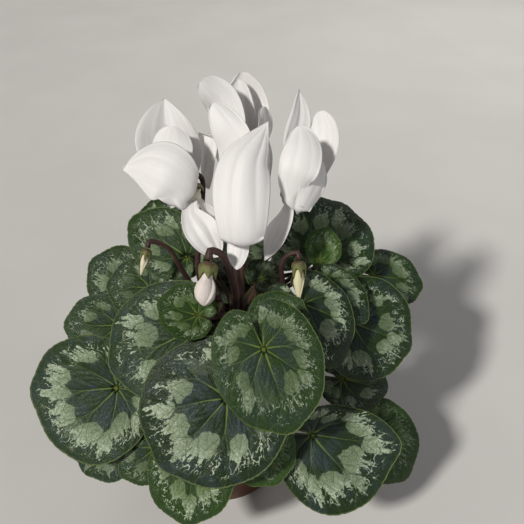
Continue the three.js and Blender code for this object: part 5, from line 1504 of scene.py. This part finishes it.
class CyclamenLeafSettings(bpy.types.PropertyGroup):
    """Sizes and colours of the leaf blades."""

    thickness: length_property("Thickness", 0.00055, "Thickness of a blade")
    vein_depth: length_property("Vein depth", 0.00034, "How far the veins are sunk")
    quilting: length_property("Quilting", 0.00042, "How far the blade swells between its veins")
    margin_teeth: length_property("Margin teeth", 0.0003, "Size of the fine teeth round the margin")
    margin_points: length_property("Margin points", 0.0002, "How far the margin juts at each main vein")
    silver_strength: share_property("Silver strength", 1.0, "How strong the marbling is", top=1.5)
    deep_green: colour_property("Deep green", (24, 40, 22), "Blades of the darkest leaves")
    # this colour paints the bluish sheen of the blades, in patches
    sheen_blue_green: colour_property("Blue green", (43, 59, 57), "Their bluish patches")
    young_green: colour_property("Young green", (48, 78, 24), "Blades of the youngest leaves")
    dark_green: colour_property("Dark green", (12, 22, 12), "Along the fine veins")
    silver: colour_property("Silver", (150, 165, 134), "Marbling of the dark leaves")
    young_silver: colour_property("Young silver", (108, 134, 78), "Marbling of young leaves, and grains")
    fleck: colour_property("Fleck", (200, 212, 190), "Palest flecks of the marbling")
    vein: colour_property("Vein", (118, 138, 62), "Veins, brightest near the stalk point")
    margin: colour_property("Margin", (110, 126, 68), "Thin pale line along the margin")
    underside: colour_property("Underside", (128, 92, 78), "Pinkish underside")
    underside_green: colour_property("Underside green", (104, 108, 74), "Greener patches underneath")
    vein_red: colour_property("Vein red", (92, 48, 44), "Veins on the underside")


class CyclamenFlowerSettings(bpy.types.PropertyGroup):
    """Sizes and colours of the flowers and buds."""

    petal_thickness: length_property("Petal thickness", 0.0004, "Thickness of a petal")
    rib_height: length_property("Rib height", 0.00002, "Height of the fine ribs along a petal")
    edge_wave: length_property("Edge wave", 0.0006, "How far a petal's edge waves")
    edge_roll: length_property("Edge roll", 0.0006, "How far a petal's edge rolls towards its face")
    bud_twist: bpy.props.FloatProperty(name="Bud twist", description="Turn of a bud's petals", default=2.5)
    petal_glow: share_property("Petal glow", 0.22, "How much light passes through a petal")
    # streaks also sets how strong the painted shade towards a petal's foot is
    streaks: share_property("Streaks", 0.42, "How strong the streaks are")
    petal_white: colour_property("Petal white", (243, 240, 238), "Open petals")
    # the petal shade colours both the streaks and the painted shade towards a petal's foot
    petal_shade: colour_property("Petal shade", (202, 198, 196), "Streaks on the petals")
    petal_throat: colour_property("Petal throat", (214, 212, 176), "Inside of a flower's tube")
    bud_cream: colour_property("Bud cream", (232, 226, 186), "Closed petals")
    bud_pink: colour_property("Bud pink", (230, 220, 213), "The largest closed petals")
    # the bud shade colours both the streaks and the painted shade towards a bud's foot
    bud_shade: colour_property("Bud shade", (190, 178, 120), "Streaks on the closed petals")
    calyx_green: colour_property("Calyx green", (106, 112, 58), "Sepals")
    calyx_bright: colour_property("Calyx bright", (152, 162, 96), "Pale grains on the sepals")
    # calyx brown also paints the shade along the creases where a bud's petals lap
    calyx_brown: colour_property("Calyx brown", (88, 64, 50), "Flush of the sepals")


class CyclamenStalkSettings(bpy.types.PropertyGroup):
    """Colours of the stalks."""

    stalk_red: colour_property("Stalk red", (60, 37, 33), "Dark red stalks")
    stalk_green: colour_property("Stalk green", (84, 78, 42), "Greener stalks")
    stalk_pale: colour_property("Stalk pale", (136, 110, 102), "Pale grains on the stalks")


class CyclamenPotSettings(bpy.types.PropertyGroup):
    """Sizes and colours of the pot, the peat and the tuber."""

    crumbs: bpy.props.IntProperty(name="Crumbs", description="Loose crumbs on the peat", default=450, min=0)
    crumb_size: length_property("Crumb size", 0.0014, "Radius of the largest crumbs")
    pot_brown: colour_property("Pot brown", (100, 62, 40), "Pot plastic")
    pot_dark: colour_property("Pot dark", (82, 50, 33), "Darker clouds in the plastic")
    pot_dust: colour_property("Pot dust", (124, 92, 70), "Dust on the pot")
    peat_dark: colour_property("Peat dark", (26, 19, 15), "Wet peat")
    peat_brown: colour_property("Peat brown", (58, 42, 31), "Drier peat")
    peat_fibre: colour_property("Peat fibre", (98, 72, 50), "Fibres in the peat")
    peat_pale: colour_property("Peat pale", (176, 164, 140), "Pale grains")
    tuber_dark: colour_property("Tuber dark", (58, 42, 34), "Older skin")
    tuber_brown: colour_property("Tuber brown", (104, 78, 60), "Younger skin")


class CyclamenStageSettings(bpy.types.PropertyGroup):
    """Floor, lights and camera."""

    floor_radius: length_property("Floor radius", 20.0, "Radius of the floor")
    key_strength: bpy.props.FloatProperty(
        name="Key light", description="Strength of the main light", default=2.5, min=0,
    )
    key_softness: bpy.props.FloatProperty(
        name="Key softness", description="Angle that the main light fills", default=math.radians(6),
        min=0, subtype="ANGLE",
    )
    fill_power: bpy.props.FloatProperty(
        name="Fill light", description="Power of the fill light", default=0.3, min=0, unit="POWER",
    )
    back_power: bpy.props.FloatProperty(
        name="Back light", description="Power of the light behind the plant", default=1.0,
        min=0, unit="POWER",
    )
    world_strength: share_property("World", 0.12, "Strength of the light from all round", top=5)
    floor: colour_property("Floor", (222, 220, 216), "Floor colour")
    floor_shade: colour_property("Floor shade", (218, 216, 212), "Faint clouds of the floor")


SETTINGS = {
    "cyclamen_leaves": CyclamenLeafSettings,
    "cyclamen_flowers": CyclamenFlowerSettings,
    "cyclamen_stalks": CyclamenStalkSettings,
    "cyclamen_pot": CyclamenPotSettings,
    "cyclamen_stage": CyclamenStageSettings,
}


# Operators

def finished(made):
    """Ends an operator, with an error when nothing was made."""
    if not made:
        raise RuntimeError("Nothing was made")
    return {"FINISHED"}


class CYCLAMEN_OT_pot(bpy.types.Operator):
    """Make the plastic pot"""

    bl_idname = "cyclamen.pot"
    bl_label = "Make the pot"

    def execute(self, context):
        return finished(make_pot(pot_material(context.scene.cyclamen_pot)))


class CYCLAMEN_OT_peat(bpy.types.Operator):
    """Make the peat in the pot"""

    bl_idname = "cyclamen.peat"
    bl_label = "Make the peat"

    def execute(self, context):
        look = context.scene.cyclamen_pot
        return finished(make_soil(look, peat_material(look)))


class CYCLAMEN_OT_tuber(bpy.types.Operator):
    """Make the tuber"""

    bl_idname = "cyclamen.tuber"
    bl_label = "Make the tuber"

    def execute(self, context):
        return finished(make_tuber(tuber_material(context.scene.cyclamen_pot)))


class CYCLAMEN_OT_stalks(bpy.types.Operator):
    """Make the stalks and the crown that they grow from"""

    bl_idname = "cyclamen.stalks"
    bl_label = "Make the stalks"

    def execute(self, context):
        scene = context.scene
        return finished(make_stalks(scene.cyclamen_leaves, stalk_material(scene.cyclamen_stalks)))


class CYCLAMEN_OT_leaves(bpy.types.Operator):
    """Make the leaf blades"""

    bl_idname = "cyclamen.leaves"
    bl_label = "Make the leaves"

    def execute(self, context):
        look = context.scene.cyclamen_leaves
        green = leaf_material(look)
        return finished([make_leaf(name, leaf, look, green) for name, leaf in EVERY_LEAF.items()])


class CYCLAMEN_OT_flowers(bpy.types.Operator):
    """Make the open flowers"""

    bl_idname = "cyclamen.flowers"
    bl_label = "Make the flowers"

    def execute(self, context):
        look = context.scene.cyclamen_flowers
        white = petal_material("Cyclamen petal", look, look.petal_white, look.petal_shade)
        return finished([make_bloom(name, bloom, look, white) for name, bloom in BLOOMS.items()])


class CYCLAMEN_OT_buds(bpy.types.Operator):
    """Make the closed buds"""

    bl_idname = "cyclamen.buds"
    bl_label = "Make the buds"

    def execute(self, context):
        look = context.scene.cyclamen_flowers
        cream = petal_material("Cyclamen bud", look, look.bud_cream, look.bud_shade)
        return finished([make_bud(name, bud, look, cream) for name, bud in BUDS.items()])


class CYCLAMEN_OT_calyxes(bpy.types.Operator):
    """Make the calyxes behind the flowers and buds"""

    bl_idname = "cyclamen.calyxes"
    bl_label = "Make the calyxes"

    def execute(self, context):
        green = calyx_material(context.scene.cyclamen_flowers)
        made = [
            make_calyx(name, bloom_head(bloom), BLOOM_CALYX_RINGS, green)
            for name, bloom in BLOOMS.items()
        ]
        made += [
            make_calyx(name, bud_head(bud), BUD_CALYX_RINGS, green, bud.points)
            for name, bud in BUDS.items()
        ]
        return finished(made)


class CYCLAMEN_OT_stage(bpy.types.Operator):
    """Make the floor, the lights and the camera"""

    bl_idname = "cyclamen.stage"
    bl_label = "Make the stage"

    def execute(self, context):
        return finished(make_stage(context.scene))


OPERATORS = (
    CYCLAMEN_OT_pot, CYCLAMEN_OT_peat, CYCLAMEN_OT_tuber, CYCLAMEN_OT_stalks,
    CYCLAMEN_OT_leaves, CYCLAMEN_OT_flowers, CYCLAMEN_OT_buds, CYCLAMEN_OT_calyxes, CYCLAMEN_OT_stage,
)


class CYCLAMEN_PT_panel(bpy.types.Panel):
    """The add-on's panel"""

    bl_label = "Potted Cyclamen"
    bl_idname = "CYCLAMEN_PT_panel"
    bl_space_type = "VIEW_3D"
    bl_region_type = "UI"
    bl_category = "Cyclamen"

    def draw(self, context):
        """Lists the operators, then the settings."""
        for operator in OPERATORS:
            self.layout.operator(operator.bl_idname)
        for key, group in SETTINGS.items():
            box = self.layout.box()
            box.label(text=group.__doc__.rstrip("."))
            for name in group.__annotations__:
                box.prop(getattr(context.scene, key), name)


# Stage

def add_light(kind, name, place, colour, **values):
    """A light that points at the plant from a place in millimetres."""
    data = bpy.data.lights.new(name, kind)
    data.color = colour
    for key, value in values.items():
        setattr(data, key, value)
    lamp = bpy.data.objects.new(name, data)
    lamp.location = Vector(place) * MM
    lamp.rotation_euler = Vector(LIGHT_AIM - place).to_track_quat("-Z", "Y").to_euler()
    bpy.context.scene.collection.objects.link(lamp)


def make_floor(look):
    """A wide, level floor."""
    reach = look.floor_radius
    corners = [(-reach, -reach, 0), (reach, -reach, 0), (reach, reach, 0), (-reach, reach, 0)]
    mesh = bpy.data.meshes.new("floor")
    mesh.from_pydata(corners, [], [(0, 1, 2, 3)])
    mesh.materials.append(floor_material(look))
    floor = bpy.data.objects.new("floor", mesh)
    bpy.context.scene.collection.objects.link(floor)


def make_lights(look):
    """A soft light from the upper left, weak ones from the right and from behind, and a pale room."""
    add_light(
        "SUN", "key_light", KEY_PLACE, KEY_COLOUR, energy=look.key_strength, angle=look.key_softness,
    )
    add_light(
        "AREA", "fill_light", FILL_PLACE, FILL_COLOUR,
        energy=look.fill_power, shape="SQUARE", size=FILL_SIZE * MM,
    )
    add_light(
        "AREA", "back_light", BACK_PLACE, BACK_COLOUR,
        energy=look.back_power, shape="SQUARE", size=BACK_SIZE * MM,
    )
    world = bpy.data.worlds.new("Soft room")
    world.use_nodes = True
    background = next(node for node in world.node_tree.nodes if node.type == "BACKGROUND")
    background.inputs["Color"].default_value = (*ROOM_COLOUR, 1)
    background.inputs["Strength"].default_value = look.world_strength
    bpy.context.scene.world = world


def make_camera():
    """The camera, at the photograph's viewing angle."""
    data = bpy.data.cameras.new("camera")
    data.lens, data.sensor_width = VIEW_LENS, VIEW_SENSOR
    data.clip_start, data.clip_end = 0.01, 40
    camera = bpy.data.objects.new("camera", data)
    camera.location = Vector(FACING_ORIGIN + NEAR * VIEW_DISTANCE) * MM
    camera.rotation_euler = Vector(-NEAR).to_track_quat("-Z", "Y").to_euler()
    bpy.context.scene.collection.objects.link(camera)
    bpy.context.scene.camera = camera
    return camera


def make_stage(scene):
    """The floor, the lights and the camera."""
    make_floor(scene.cyclamen_stage)
    make_lights(scene.cyclamen_stage)
    scene.view_settings.view_transform = "Standard"
    return make_camera()


def register():
    """Adds the settings, operators and panel to Blender."""
    for key, group in SETTINGS.items():
        bpy.utils.register_class(group)
        setattr(bpy.types.Scene, key, bpy.props.PointerProperty(type=group))
    for operator in OPERATORS:
        bpy.utils.register_class(operator)
    bpy.utils.register_class(CYCLAMEN_PT_panel)


def unregister():
    """Takes them out again."""
    bpy.utils.unregister_class(CYCLAMEN_PT_panel)
    for operator in reversed(OPERATORS):
        bpy.utils.unregister_class(operator)
    for key, group in SETTINGS.items():
        delattr(bpy.types.Scene, key)
        bpy.utils.unregister_class(group)


def main():
    """Makes every piece and the stage."""
    register()
    bpy.ops.cyclamen.pot()
    bpy.ops.cyclamen.peat()
    bpy.ops.cyclamen.tuber()
    bpy.ops.cyclamen.stalks()
    bpy.ops.cyclamen.leaves()
    bpy.ops.cyclamen.flowers()
    bpy.ops.cyclamen.buds()
    bpy.ops.cyclamen.calyxes()
    bpy.ops.cyclamen.stage()
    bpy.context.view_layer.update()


if __name__ == "__main__":
    main()
